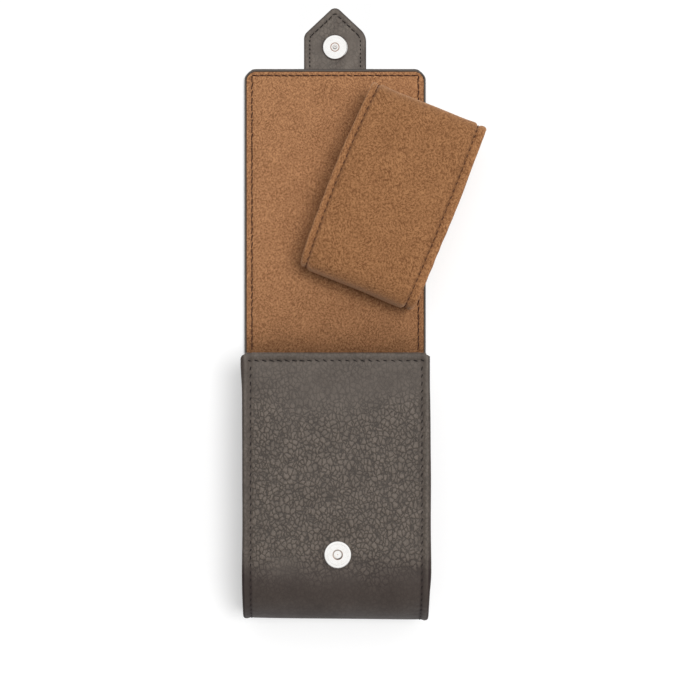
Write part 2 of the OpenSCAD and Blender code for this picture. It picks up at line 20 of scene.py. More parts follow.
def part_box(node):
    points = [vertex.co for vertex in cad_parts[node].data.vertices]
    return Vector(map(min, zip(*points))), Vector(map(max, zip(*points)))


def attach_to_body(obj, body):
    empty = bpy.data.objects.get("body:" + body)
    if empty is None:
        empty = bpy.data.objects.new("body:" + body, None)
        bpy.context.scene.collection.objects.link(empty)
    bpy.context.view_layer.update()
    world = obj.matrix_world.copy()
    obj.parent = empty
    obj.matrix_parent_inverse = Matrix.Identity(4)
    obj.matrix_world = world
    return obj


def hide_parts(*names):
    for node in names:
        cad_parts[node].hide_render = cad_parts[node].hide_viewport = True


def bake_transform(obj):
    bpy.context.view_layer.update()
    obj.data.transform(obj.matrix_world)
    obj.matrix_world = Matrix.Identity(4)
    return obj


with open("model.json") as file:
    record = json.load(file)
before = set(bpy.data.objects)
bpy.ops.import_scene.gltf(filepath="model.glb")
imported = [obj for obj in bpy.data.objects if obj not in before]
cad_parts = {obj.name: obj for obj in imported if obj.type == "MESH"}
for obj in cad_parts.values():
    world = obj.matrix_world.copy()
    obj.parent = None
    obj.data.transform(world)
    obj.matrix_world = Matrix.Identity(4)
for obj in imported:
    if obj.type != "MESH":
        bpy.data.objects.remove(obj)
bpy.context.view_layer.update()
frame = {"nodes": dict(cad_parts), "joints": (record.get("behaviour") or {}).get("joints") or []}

LOG = logging.getLogger("travel_case")
MM = 0.001
WHITE = (1.0, 1.0, 1.0, 1.0)

Array = np.ndarray
Colour = tuple[float, float, float]
Face = tuple[int, ...]
Node = bpy.types.Node
Piece = bpy.types.Object
Socket = bpy.types.NodeSocket


class Side(Enum):
    """The two sides of the case, seen from the front."""

    LEFT = -1
    RIGHT = 1

    @property
    def word(self) -> str:
        """The side's name as piece names use it."""
        return self.name.lower()


class Zone(IntEnum):
    """Where on a panel a point lies."""

    FACE = 0
    RIM = 1
    BACK = 2


# --- Numbers ---


def smooth(x: Array, low: float, high: float) -> Array:
    """Rises from 0 at low to 1 at high along a smooth step."""
    t = np.clip((np.asarray(x, float) - low) / (high - low), 0.0, 1.0)
    return t * t * (3.0 - 2.0 * t)


def bell(x: Array, width: float) -> Array:
    """A bump of height 1 at 0 that fades out over the given width."""
    return np.exp(-((np.asarray(x, float) / width) ** 2))


def ripple(x: Array, y: Array, wavelength: float, seed: int) -> Array:
    """A slow uneven wave over a surface, between about -1 and 1.

    Args:
        x: Places across the surface.
        y: Places along the surface.
        wavelength: The mean distance between crests.
        seed: Chooses the waves' directions and phases.

    Returns:
        The wave's height at each place.
    """
    chance = np.random.default_rng(seed)
    total = np.zeros(np.broadcast(x, y).shape)
    waves = 5
    for _ in range(waves):
        heading = chance.uniform(0.0, math.pi)
        length = wavelength * chance.uniform(0.6, 1.6)
        phase = chance.uniform(0.0, 2.0 * math.pi)
        reach = x * math.cos(heading) + y * math.sin(heading)
        total = total + np.sin(2.0 * math.pi * reach / length + phase)
    return total / math.sqrt(waves)


def spread(start: float, end: float, step: float) -> Array:
    """Evenly spaced numbers from start to end, about one step apart."""
    return np.linspace(start, end, max(2, int(round(abs(end - start) / step)) + 1))


# --- Sizes ---


@dataclass
class CasePlan:
    """The sizes that all the sub-assemblies share: chosen here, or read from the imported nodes."""

    front_corner: float = 22 * MM
    back_corner: float = 8 * MM
    flap_corner: float = 5.2 * MM
    painted_edge: float = 1 * MM
    pouch_seam_inset: float = 3.6 * MM
    mouth_seam_inset: float = 3.5 * MM
    flap_seam_inset: float = 3.4 * MM
    tab_seam_inset: float = 2.6 * MM
    stitch_pitch: float = 3.27 * MM
    split_past_fold: float = 6 * MM
    wrap_end_gap: float = 4.75 * MM
    cup_shift: tuple[float, float] = (0.15 * MM, -0.4 * MM)
    plate_shift: tuple[float, float] = (-0.6 * MM, 0.0)

    def __post_init__(self) -> None:
        """Reads the other sizes: widths are from the middle, and lengths are places on Y."""
        wrap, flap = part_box("outer_wrap"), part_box("flap_front_leather")[1]
        self.half, self.mouth, self.depth = wrap[1]
        self.bottom = wrap[0].y
        self.flap_half, self.flap_end, self.edge_top = flap
        # The thickness of the leather, then with its board, then with its lining too.
        self.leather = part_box("shell_board")[0].z
        self.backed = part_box("shell_lining")[0].z
        self.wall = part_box("flap_top_lining")[1].z
        self.pouch_seam = self.half - self.pouch_seam_inset
        self.flap_seam = self.flap_half - self.flap_seam_inset
        # Where the flap's leather and lining pass from one blended piece to the next.
        self.split = self.hinge("flap_back_fold").y + self.split_past_fold

    def hinge(self, joint: str) -> Vector:
        """The place of a joint's axis."""
        return Vector(next(j["pos_m"] for j in frame["joints"] if j["name"] == joint))

    def bend(self, joint: str, before: float, after: float) -> list[Vector]:
        """Where the bend at a joint starts and where it ends."""
        return [self.hinge(joint) + Vector((0, shift, 0)) for shift in (-before, after)]


def seat(node: str, shift: tuple[float, float]) -> tuple[Vector, float, float]:
    """Where a round piece stands.

    Args:
        node: The node that it replaces.
        shift: How far it sits off the node's middle, across and along.

    Returns:
        The middle of its lower face, and the node's radius and height.
    """
    low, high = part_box(node)
    middle = Vector(((low.x + high.x) / 2 + shift[0], (low.y + high.y) / 2 + shift[1], low.z))
    return middle, (high.x - low.x) / 2, high.z - low.z


# --- Panels ---


@dataclass(frozen=True)
class Rows:
    """A panel's rows, from its start to its far end, and the two ends of each row."""

    along: Array
    low: Array
    high: Array


@dataclass
class Patch:
    """A panel's points, across, along and into the material, before it is bent into place."""

    across: Array
    along: Array
    depth: Array
    zone: Array
    faces: list[Face]

    def wave(self, length: float, seed: int) -> Array:
        """A slow uneven wave over the panel, between about -1 and 1."""
        return ripple(self.across, self.along, length, seed)


Profile = list[tuple[float, float]]
Placer = Callable[[Array, Array, Array], Array]


def puckers(along: Array, beside: Array, pitch: float, away: float, width: float) -> Array:
    """The small swellings beside a row of stitches, some way off it."""
    return np.cos(2 * math.pi * along / pitch) * bell(np.abs(beside) - away, width)


def lying(height: float, up: int) -> Placer:
    """Places a flat panel at a height, with its material above (1) or below (-1) its face."""
    return lambda across, along, depth: np.stack([across, along, height + up * depth], -1)


def standing(side: Side, face: float, top: float, out: int) -> Placer:
    """Places a side wall with its material outside (1) or inside (-1) of its face."""
    return lambda across, along, depth: np.stack([side.value * (face + out * depth), top - along, across], -1)


def straight_rows(along: Array, half: Array | float) -> Rows:
    """Rows of a strip that is even to both sides of its middle."""
    high = np.broadcast_to(half, along.shape)
    return Rows(along, -high, high)


def round_end_rows(
    start: float, end: float, sides: tuple[float, float], radii: tuple[float, float], step: float
) -> Rows:
    """Rows of a panel whose far end has two rounded corners.

    Args:
        start: Where the panel starts.
        end: Where its straight end is.
        sides: The low and the high side.
        radii: The corner radius at the low and the high side.
        step: The distance between rows.

    Returns:
        The rows, closer together round the corners.
    """
    largest = max(radii)
    turns = np.radians(spread(0.0, 90.0, math.degrees(step / largest)))
    corner = end - largest * (1.0 - np.sin(turns))
    along = np.concatenate([spread(start, end - largest, step)[:-1], corner])
    inside = [np.clip(radius - (end - along), 0.0, radius) for radius in radii]
    drawn_in = [radius - np.sqrt(radius**2 - deep**2) for radius, deep in zip(radii, inside)]
    return Rows(along, sides[0] + drawn_in[0], sides[1] - drawn_in[1])


def outward(across: Array, along: Array) -> tuple[Array, Array]:
    """The outward directions along a chain that runs up a panel's left side, over and down."""
    steps = np.array([np.gradient(across), np.gradient(along)])
    return tuple(np.array([-steps[1], steps[0]]) / np.maximum(np.hypot(*steps), 1e-9))


def between(low: Array, high: Array, columns: int) -> Array:
    """Rows of evenly spaced values from the low to the high one."""
    share = np.linspace(0.0, 1.0, columns)
    return (low[:, None] * (1 - share) + high[:, None] * share).ravel()


def border_chain(ids: Array, over_end: bool) -> Array:
    """The point numbers up a grid's left side, over its far end if asked, and down its right."""
    end = ids[-1, 1:-1] if over_end else ids[-1, :0]
    return np.concatenate([ids[:, 0], end, ids[::-1, -1]])


def panel(rows: Rows, columns: int, rim: Profile, rim_at_end: bool) -> Patch:
    """Builds a closed panel: a show face, a rim round its sides and a back.

    Args:
        rows: The show face's rows.
        columns: How many points each row has.
        rim: Steps outwards and into the material, from the face's edge to the back's.
        rim_at_end: Whether the rim also runs along the far end.

    Returns:
        The panel's points and faces.
    """
    count = len(rows.along)
    across = [between(rows.low, rows.high, columns)]
    along = [np.repeat(rows.along, columns)]
    depth = [np.zeros(count * columns)]
    zone = [np.full(count * columns, int(Zone.FACE))]
    face_ids = numbered(count, columns)
    chain = border_chain(face_ids, rim_at_end)
    u, v = across[0][chain], along[0][chain]
    if rim_at_end:
        out_u, out_v = outward(u, v)
    else:
        out_u = np.concatenate([np.full(count, -1.0), np.full(count, 1.0)])
        out_v = np.zeros(2 * count)
    rings, total = [chain], count * columns
    for out, deep in rim[:-1]:
        across.append(u + out_u * out)
        along.append(v + out_v * out)
        depth.append(np.full(len(chain), deep))
        zone.append(np.full(len(chain), int(Zone.RIM)))
        rings.append(np.arange(total, total + len(chain)))
        total += len(chain)
    out, deep = rim[-1]
    for values, edge in ((across, u + out_u * out), (along, v + out_v * out)):
        values.append(between(edge[:count], edge[::-1][:count], columns))
    depth.append(np.full(count * columns, deep))
    zone.append(np.full(count * columns, int(Zone.BACK)))
    back_ids = total + face_ids
    rings.append(border_chain(back_ids, rim_at_end))

    faces = quads(face_ids) + quads(back_ids[:, ::-1])
    skipped = -1 if rim_at_end else count - 1
    for near, far in zip(rings[:-1], rings[1:]):
        for k in range(len(chain) - 1):
            if k != skipped:
                faces.append((int(near[k]), int(far[k]), int(far[k + 1]), int(near[k + 1])))
    for row, right, left in ((0, -1, 0), (-1, count, count - 1))[: 1 if rim_at_end else 2]:
        right_rim = [int(ring[right]) for ring in rings[1:-1]]
        left_rim = [int(ring[left]) for ring in rings[-2:0:-1]]
        faces.append((*face_ids[row].tolist(), *right_rim, *back_ids[row, ::-1].tolist(), *left_rim))
    return Patch(*map(np.concatenate, (across, along, depth, zone)), faces)


def quads(ids: Array, around: bool = False) -> list[Face]:
    """The four-sided faces between the neighbours of a grid of point numbers.

    Args:
        ids: The point numbers, row by row.
        around: Whether each row closes on itself.

    Returns:
        The faces.
    """
    if around:
        ids = np.hstack([ids, ids[:, :1]])
    corners = (ids[:-1, :-1], ids[:-1, 1:], ids[1:, 1:], ids[1:, :-1])
    return [tuple(face) for face in np.stack(corners, -1).reshape(-1, 4).tolist()]


def numbered(rows: int, columns: int) -> Array:
    """The point numbers of a grid, row by row."""
    return np.arange(rows * columns).reshape(rows, columns)


def tube(ids: Array) -> list[Face]:
    """The faces of a closed tube: round its rings, and over its first and last ring."""
    return quads(ids, around=True) + [tuple(ids[0, ::-1].tolist()), tuple(ids[-1].tolist())]


def half_round(thickness: float, steps: int = 6) -> Profile:
    """The rim of one burnished leather edge, from its face round to its back."""
    turns = np.linspace(0.0, math.pi, steps + 1)[1:]
    return [(thickness / 2 * math.sin(a), thickness / 2 * (1.0 - math.cos(a))) for a in turns]


def quarter_round(radius: float, steps: int = 4) -> Profile:
    """The first part of a rim that turns from the face down the side."""
    turns = np.linspace(0.0, math.pi / 2, steps + 1)[1:]
    return [(radius * math.sin(a), radius * (1.0 - math.cos(a))) for a in turns]


# --- Pieces ---


def new_piece(name: str, points: Array, faces: list[Face]) -> Piece:
    """Makes a smooth-shaded mesh object in the scene.

    Args:
        name: The piece's name.
        points: Its points, one row each.
        faces: Its faces, as point numbers.

    Returns:
        The new object, with its faces turned outwards.
    """
    mesh = bpy.data.meshes.new(name)
    mesh.from_pydata(np.asarray(points, float).tolist(), [], faces)
    work = bmesh.new()
    work.from_mesh(mesh)
    bmesh.ops.recalc_face_normals(work, faces=work.faces)
    for face in work.faces:
        if len(face.verts) > 4:
            for edge in face.edges:
                edge.smooth = False
    work.to_mesh(mesh)
    work.free()
    mesh.polygons.foreach_set("use_smooth", [len(face.vertices) <= 4 for face in mesh.polygons])
    piece = bpy.data.objects.new(name, mesh)
    bpy.context.scene.collection.objects.link(piece)
    return piece


def mark(piece: Piece, name: str, values: Array) -> None:
    """Stores a value or a vector for each point of a piece, for its material to read."""
    kind, slot = ("FLOAT_VECTOR", "vector") if values.ndim == 2 else ("FLOAT", "value")
    piece.data.attributes.new(name, kind, "POINT").data.foreach_set(slot, values.astype(np.float32).ravel())


def baked(piece: Piece) -> Piece:
    """Applies a piece's modifiers to its mesh.

    Args:
        piece: The piece.

    Returns:
        The same piece, with its new mesh.
    """
    depsgraph = bpy.context.evaluated_depsgraph_get()
    mesh = bpy.data.meshes.new_from_object(piece.evaluated_get(depsgraph), depsgraph=depsgraph)
    piece.modifiers.clear()
    piece.data = mesh
    return piece


def panel_piece(
    name: str, patch: Patch, place: Placer, grain: Array | None = None, shade: Array | None = None
) -> Piece:
    """Bends a panel into place and marks it for its material.

    Args:
        name: The piece's name.
        patch: The panel.
        place: Turns places across, along and into the material into points.
        grain: How strongly the leather's grain shows at each point, or None for none.
        shade: How much darker (or, below 0, lighter) its colour is painted at each point, mostly painted
            shade and painted highlights.

    Returns:
        The piece, with its grain carved where it has any.
    """
    piece = new_piece(name, place(patch.across, patch.along, patch.depth), patch.faces)
    mark(piece, "place", np.stack([patch.across, patch.along, patch.depth], -1))
    mark(piece, "edge", (patch.zone == Zone.RIM).astype(float))
    mark(piece, "shade", np.zeros(len(patch.zone)) if shade is None else shade)
    if grain is not None:
        mark(piece, "grain", grain * (patch.zone == Zone.FACE))
        carve_grain(piece)
    return piece


def attach(piece: Piece, finish: "Finish", nodes: tuple[str, ...] = ()) -> None:
    """Dresses a piece and reports it.

    Args:
        piece: The piece.
        finish: Its finish.
        nodes: The nodes that it stands for.
    """
    piece.data.materials.clear()
    piece.data.materials.append(finish.material())
    if nodes:
        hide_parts(*nodes)
    LOG.info("%s: %d points", piece.name, len(piece.data.vertices))


# --- Node sheets ---


class NodeSheet:
    """Adds and links nodes in one node tree."""

    def __init__(self, tree: bpy.types.NodeTree) -> None:
        """Starts on a tree, shader or geometry."""
        self.tree = tree

    def feed(self, node: Node, inputs: dict) -> None:
        """Fills or links a node's inputs.

        Args:
            node: The node.
            inputs: For each input, by name or number, a value or the socket that feeds it.
        """
        for name, value in inputs.items():
            if isinstance(value, Socket):
                self.tree.links.new(value, node.inputs[name])
            else:
                node.inputs[name].default_value = value

    def add(self, kind: str, inputs: dict | None = None, **settings: object) -> Node:
        """Adds a node.

        Args:
            kind: The node's type.
            inputs: For each input, by name or number, a value or the socket that feeds it.
            **settings: The node's own settings.

        Returns:
            The node.
        """
        node = self.tree.nodes.new(kind)
        node.location = (180 * len(self.tree.nodes), 0)
        for name, value in settings.items():
            setattr(node, name, value)
        self.feed(node, inputs or {})
        return node

    def math(self, operation: str, *values: object) -> Socket:
        """The result of a Math node."""
        return self.add("ShaderNodeMath", dict(enumerate(values)), operation=operation).outputs[0]

    def plus(self, first: object, second: object) -> Socket:
        """The sum of two values."""
        return self.math("ADD", first, second)

    def minus(self, first: object, second: object) -> Socket:
        """One value less another."""
        return self.math("SUBTRACT", first, second)

    def times(self, first: object, second: object) -> Socket:
        """The product of two values."""
        return self.math("MULTIPLY", first, second)

    def vector(self, operation: str, *values: object) -> Socket:
        """The vector result of a Vector Math node."""
        return self.add("ShaderNodeVectorMath", dict(enumerate(values)), operation=operation).outputs[0]

    def scaled(self, vector: object, factor: object) -> Socket:
        """A vector times one number."""
        inputs = {0: vector, "Scale": factor}
        return self.add("ShaderNodeVectorMath", inputs, operation="SCALE").outputs[0]

    def step(
        self, value: object, low: float, high: float, start: float = 0.0, end: float = 1.0
    ) -> Socket:
        """A smooth step of a value from start at low to end at high."""
        inputs = {"Value": value, "From Min": low, "From Max": high, "To Min": start, "To Max": end}
        return self.add("ShaderNodeMapRange", inputs, interpolation_type="SMOOTHSTEP").outputs[0]

    def noise(self, place: object, scale: object, detail: float = 2.0, roughness: float = 0.5) -> Node:
        """A Noise Texture node."""
        inputs = {"Vector": place, "Scale": scale, "Detail": detail, "Roughness": roughness}
        return self.add("ShaderNodeTexNoise", inputs)

    def swirl(self, place: object, scale: object, reach: object) -> Socket:
        """An uneven shift of places, up to about half its reach to every side."""
        centred = self.vector("SUBTRACT", self.noise(place, scale).outputs["Color"], (0.5, 0.5, 0.5))
        return self.scaled(centred, reach)

    def mix(self, share: object, first: object, second: object) -> Socket:
        """A mix of two colours."""
        return self.add("ShaderNodeMix", {0: share, 6: first, 7: second}, data_type="RGBA").outputs[2]

    def mark(self, name: str) -> Socket:
        """A value that is stored for each point of a piece."""
        return self.add("ShaderNodeAttribute", attribute_name=name).outputs["Fac"]

    def place(self) -> Socket:
        """The place that is stored for each point of a piece."""
        return self.add("ShaderNodeAttribute", attribute_name="place").outputs["Vector"]

    def flat_place(self) -> Socket:
        """The place on a hide or cloth, laid out flat."""
        return self.vector("MULTIPLY", self.place(), (1.0, 1.0, 0.0))

    def bump(self, height: object, strength: float, distance: float) -> Socket:
        """The normal of a surface with some relief."""
        inputs = {"Height": height, "Strength": strength, "Distance": distance}
        return self.add("ShaderNodeBump", inputs).outputs[0]

    def group(self, group: "ShaderGroup", **inputs: object) -> "bpy.types.bpy_prop_collection":
        """The outputs of a shader group that is placed with its own values."""
        return self.add("ShaderNodeGroup", inputs, node_tree=group.tree()).outputs


def rgba(colour: Colour) -> tuple[float, float, float, float]:
    """A colour with its alpha."""
    return (*colour, 1.0)


@dataclass(frozen=True)
class ShaderGroup:
    """A node group that materials share: its name, its inputs besides Place, its outputs and its nodes."""

    name: str
    values: dict[str, float]
    results: tuple[str, ...]
    lay: Callable[..., tuple[Socket, ...]]

    def tree(self) -> bpy.types.NodeTree:
        """Builds the group's tree when it is first asked for.

        Returns:
            The tree.
        """
        tree = bpy.data.node_groups.get(self.name)
        if tree:
            return tree
        tree = bpy.data.node_groups.new(self.name, "ShaderNodeTree")
        tree.interface.new_socket("Place", in_out="INPUT", socket_type="NodeSocketVector")
        for label, value in self.values.items():
            socket = tree.interface.new_socket(label, in_out="INPUT", socket_type="NodeSocketFloat")
            socket.default_value = value
        for label in self.results:
            tree.interface.new_socket(label, in_out="OUTPUT", socket_type="NodeSocketFloat")
        sheet = NodeSheet(tree)
        source = sheet.add("NodeGroupInput").outputs
        results = self.lay(sheet, source["Place"], *(source[label] for label in self.values))
        sheet.add("NodeGroupOutput", dict(zip(self.results, results)))
        return tree


def lay_pebbles(sheet: NodeSheet, place: object, density: object) -> tuple[Socket, ...]:
    """Lays a pebbled hide's nodes, in a material's tree or a shape's.

    Args:
        sheet: Where the nodes go.
        place: The place on the hide.
        density: Pebbles in a metre.

    Returns:
        The pebbles' height and the creases between them.
    """
    shift = sheet.swirl(place, sheet.times(density, 0.5), sheet.math("DIVIDE", 1.15, density))
    fray = sheet.swirl(place, sheet.times(density, 2.6), sheet.math("DIVIDE", 0.48, density))
    moved = sheet.vector("ADD", sheet.vector("ADD", place, shift), fray)
    bent = sheet.vector("MULTIPLY", moved, (1.2, 0.9, 1.0))
    cells, crumbs = (
        sheet.add("ShaderNodeTexVoronoi", {"Vector": bent, "Scale": scale}, feature="DISTANCE_TO_EDGE")
        for scale in (density, sheet.times(density, 1.75))
    )
    wide = sheet.noise(place, sheet.times(density, 0.3), 1.0).outputs[0]
    strength = sheet.step(wide, 0.3, 0.6, 0.8, 1.0)
    large = domed(sheet, cells.outputs["Distance"], 0.31)
    small = domed(sheet, crumbs.outputs["Distance"], 0.28)
    height = sheet.plus(sheet.times(large, 0.8), sheet.times(small, 0.2))
    line = sheet.step(cells.outputs["Distance"], 0.0, 0.14, 1.0, 0.0)
    thin = sheet.step(crumbs.outputs["Distance"], 0.0, 0.1, 0.35, 0.0)
    crease = sheet.times(sheet.math("MAXIMUM", line, thin), strength)
    return sheet.times(height, strength), crease


def domed(sheet: NodeSheet, distance: object, reach: float) -> Socket:
    """A rounded swelling from 0 at a cell's edge to 1 well inside it.

    Args:
        sheet: Where the nodes go.
        distance: The distance from the cell's edge.
        reach: The distance at which it is 1.

    Returns:
        The swelling.
    """
    inputs = {"Value": distance, "From Max": reach, "To Min": 1.0, "To Max": 0.0}
    left = sheet.add("ShaderNodeMapRange", inputs).outputs[0]
    return sheet.minus(1.0, sheet.times(left, left))


def lay_clouds(
    sheet: NodeSheet, place: object, size: object, contrast: object
) -> tuple[Socket, ...]:
    """Lays the nodes of slow, cloudy changes of tone over a hide or cloth.

    Args:
        sheet: Where the nodes go.
        place: The place on the hide or cloth.
        size: How wide a cloud is.
        contrast: How far the tone changes.

    Returns:
        The tone.
    """
    scale = sheet.math("DIVIDE", 1.0, size)
    broad = sheet.noise(place, scale, 3.0, 0.55).outputs[0]
    close = sheet.noise(place, sheet.times(scale, 5.3)).outputs[0]
    both = sheet.plus(sheet.times(broad, 0.65), sheet.times(close, 0.35))
    spreads = sheet.times(sheet.minus(both, 0.5), sheet.times(contrast, 2.0))
    return (sheet.add("ShaderNodeClamp", {"Value": sheet.plus(spreads, 0.5)}).outputs[0],)


def lay_nap(sheet: NodeSheet, place: object, fibres: object) -> tuple[Socket, ...]:
    """Lays the nodes of brushed suede: short fibres that lie in changing directions.

    Args:
        sheet: Where the nodes go.
        place: The place on the suede.
        fibres: Fibres in a metre.

    Returns:
        The nap's shade and its height.
    """
    swirl = sheet.swirl(place, sheet.times(fibres, 0.11), sheet.math("DIVIDE", 2.6, fibres))
    brushed = sheet.vector("ADD", place, swirl)
    layers = []
    for lean, stretch in ((0.6, 0.62), (-0.7, 0.75)):
        inputs = {"Vector": brushed, "Angle": lean}
        turned = sheet.add("ShaderNodeVectorRotate", inputs, rotation_type="Z_AXIS").outputs[0]
        drawn = sheet.vector("MULTIPLY", turned, (1.0, stretch, 1.0))
        layers.append(sheet.noise(drawn, fibres, 3.0, 0.78).outputs[0])
    which = sheet.step(sheet.noise(place, sheet.times(fibres, 0.06), 1.0).outputs[0], 0.35, 0.65)
    fibre = sheet.add("ShaderNodeMix", {0: which, 2: layers[0], 3: layers[1]}).outputs[0]
    specks = sheet.noise(place, sheet.times(fibres, 1.1), 1.0).outputs[0]
    fleck = sheet.step(specks, 0.64, 0.74, 0.0, 0.4)
    return sheet.minus(sheet.step(fibre, 0.38, 0.62), fleck), fibre


PEBBLES_PER_METRE = 470.0
PEBBLE_LIFT = 0.16 * MM
PEBBLES = ShaderGroup("pebbled_hide", {"Density": PEBBLES_PER_METRE}, ("Height", "Crease"), lay_pebbles)
CLOUDS = ShaderGroup("cloudy_tone", {"Size": 20 * MM, "Contrast": 0.5}, ("Tone",), lay_clouds)
NAP = ShaderGroup("brushed_nap", {"Fibres": 1500.0}, ("Shade", "Height"), lay_nap)


def grain_carver() -> bpy.types.NodeTree:
    """The geometry nodes that raise the pebbles on a leather piece's face.

    Returns:
        The node tree, built when it is first asked for.
    """
    name = "carve_grain"
    made = bpy.data.node_groups.get(name)
    if made:
        return made
    tree = bpy.data.node_groups.new(name, "GeometryNodeTree")
    for way in ("INPUT", "OUTPUT"):
        tree.interface.new_socket("Geometry", in_out=way, socket_type="NodeSocketGeometry")
    sheet = NodeSheet(tree)
    source = sheet.add("NodeGroupInput")
    place, grain = (
        sheet.add("GeometryNodeInputNamedAttribute", {"Name": label}, data_type=kind).outputs[0]
        for label, kind in (("place", "FLOAT_VECTOR"), ("grain", "FLOAT"))
    )
    flat = sheet.vector("MULTIPLY", place, (1.0, 1.0, 0.0))
    height, _ = lay_pebbles(sheet, flat, PEBBLES_PER_METRE)
    raised = sheet.times(sheet.times(height, grain), PEBBLE_LIFT)
    offset = sheet.scaled(sheet.add("GeometryNodeInputNormal").outputs[0], raised)
    moved = sheet.add("GeometryNodeSetPosition", {"Geometry": source.outputs[0], "Offset": offset})
    sheet.add("NodeGroupOutput", {0: moved.outputs[0]})
    return tree


def carve_grain(piece: Piece) -> None:
    """Raises the pebbles of a leather piece where its grain mark asks for them."""
    piece.modifiers.new("grain", "NODES").node_group = grain_carver()
    baked(piece)


# --- Finishes ---


@dataclass(frozen=True)
class Finish:
    """A finish, whose material is built when it is first asked for."""

    name: str

    def material(self) -> bpy.types.Material:
        """Builds the material when it is first asked for.

        Returns:
            The material.
        """
        made = bpy.data.materials.get(self.name)
        if made is None:
            made, sheet, shader = new_material(self.name)
            self.lay(sheet, shader)
        return made

    def lay(self, sheet: NodeSheet, shader: Node) -> None:
        """Adds the finish's nodes and feeds its shader."""
        raise NotImplementedError


@dataclass(frozen=True)
class Leather(Finish):
    """Grey pebbled leather with burnished, painted edges."""

    name: str = "taupe_leather"
    # Pebble, valley and crease colours: partly the hide's own tone, partly painted shade in the grain's
    # hollows and creases.
    pebble: Colour = (0.154, 0.123, 0.099)
    valley: Colour = (0.045, 0.034, 0.026)
    crease: Colour = (0.026, 0.018, 0.013)
    paint: Colour = (0.07, 0.057, 0.048)
    # A purple tint added with painted shade, and taken off with painted highlights.
    shade_tint: Colour = (0.008, 0.0, 0.002)
    plain: float = 0.465
    drift: float = 0.48
    pores: float = 2600.0

    def lay(self, sheet: NodeSheet, shader: Node) -> None:
        """Adds the pebbles, their creases, slow clouds, pores, painted shade and highlights, and painted
        edges.

        Args:
            sheet: Where the nodes go.
            shader: The shader that they feed.
        """
        place = sheet.flat_place()
        # The shade mark holds painted shade and painted highlights; on the tab it also holds edge paint and
        # uneven tone.
        grain, edge, painted_light_and_tone = map(sheet.mark, ("grain", "edge", "shade"))
        hide = sheet.group(PEBBLES, Place=place, Density=PEBBLES_PER_METRE)
        cloud = sheet.group(CLOUDS, Place=place, Size=14 * MM, Contrast=0.75)["Tone"]
        pores = sheet.noise(place, self.pores, 3.0, 0.6).outputs[0]
        bold = sheet.times(sheet.minus(hide["Height"], self.plain), grain)
        drift = sheet.times(sheet.minus(cloud, 0.5), self.drift)
        tone = sheet.plus(sheet.plus(bold, drift), self.plain)
        # Darker down in the valleys and along the creases: partly the hide's tone, partly painted shade.
        body = sheet.mix(tone, rgba(self.valley), rgba(self.pebble))
        shown = sheet.times(hide["Crease"], sheet.times(grain, 0.5))
        creased = sheet.mix(shown, body, rgba(self.crease))
        # Painted shade darkens the colour here, and painted highlights lighten it.
        speck = sheet.times(sheet.step(pores, 0.25, 0.75, 0.86, 1.14), sheet.minus(1.0, painted_light_and_tone))
        shaded_body = sheet.vector("ADD", sheet.scaled(creased, speck), sheet.scaled(self.shade_tint, painted_light_and_tone))
        rough = sheet.plus(sheet.step(cloud, 0.2, 0.8, 0.46, 0.4), sheet.times(painted_light_and_tone, 0.45))
        height = sheet.plus(sheet.times(hide["Height"], grain), sheet.times(pores, 0.22))
        sheet.feed(shader, {
            "Base Color": sheet.mix(sheet.times(edge, 0.85), shaded_body, rgba(self.paint)),
            "Roughness": sheet.minus(rough, sheet.times(edge, 0.08)),
            "Specular IOR Level": 0.7,
            "Normal": sheet.bump(height, 0.9, 0.2 * MM),
        })


@dataclass(frozen=True)
class Suede(Finish):
    """Brushed tan microsuede."""

    light: Colour
    dark: Colour
    fibres: float = 1450.0
    sheen: float = 0.08

    def lay(self, sheet: NodeSheet, shader: Node) -> None:
        """Adds the nap, slow clouds, and the painted shade and highlights of the shade mark.

        Args:
            sheet: Where the nodes go.
            shader: The shader that they feed.
        """
        place = sheet.flat_place()
        nap = sheet.group(NAP, Place=place, Fibres=self.fibres)
        cloud = sheet.group(CLOUDS, Place=place, Size=9 * MM, Contrast=0.8)["Tone"]
        shade = sheet.plus(sheet.times(nap["Shade"], 0.76), sheet.times(cloud, 0.3))
        tan = sheet.mix(shade, rgba(self.dark), rgba(self.light))
        # The shade mark's painted shade darkens the base colour, and its painted highlights lighten it.
        sheet.feed(shader, {
            "Base Color": sheet.scaled(tan, sheet.minus(1.0, sheet.mark("shade"))),
            "Roughness": sheet.step(cloud, 0.2, 0.8, 0.95, 0.85),
            "Specular IOR Level": 0.08,
            "Sheen Weight": self.sheen,
            "Sheen Roughness": 0.5,
            "Sheen Tint": rgba((0.75, 0.5, 0.33)),
            "Normal": sheet.bump(nap["Height"], 0.6, 0.14 * MM),
        })


@dataclass(frozen=True)
class Thread(Finish):
    """Waxed twisted sewing thread, with painted shade between its plies and where it dives into its holes."""

    light: Colour
    dark: Colour
    twist: float = 230.0

    def lay(self, sheet: NodeSheet, shader: Node) -> None:
        """Adds the thread's plies.

        Args:
            Adds the thread's plies, with painted shade in the grooves between them.
            shader: The shader that they feed.
        """
        place = sheet.place()
        inputs = {"Vector": place, "Scale": self.twist, "Distortion": 0.6}
        plies = sheet.add("ShaderNodeTexWave", inputs, bands_direction="DIAGONAL").outputs["Fac"]
        middle = sheet.add("ShaderNodeSeparateXYZ", {"Vector": place}).outputs["Y"]
        # Painted shade towards each stitch's ends, where it dives into its hole.
        hole = sheet.step(sheet.math("ABSOLUTE", middle), 0.7 * MM, 1.6 * MM, 1.0, 0.45)
        sheet.feed(shader, {
            "Base Color": sheet.scaled(sheet.mix(plies, rgba(self.dark), rgba(self.light)), hole),
            "Roughness": sheet.step(plies, 0.0, 1.0, 0.75, 0.55),
            "Normal": sheet.bump(plies, 0.5, 0.06 * MM),
        })


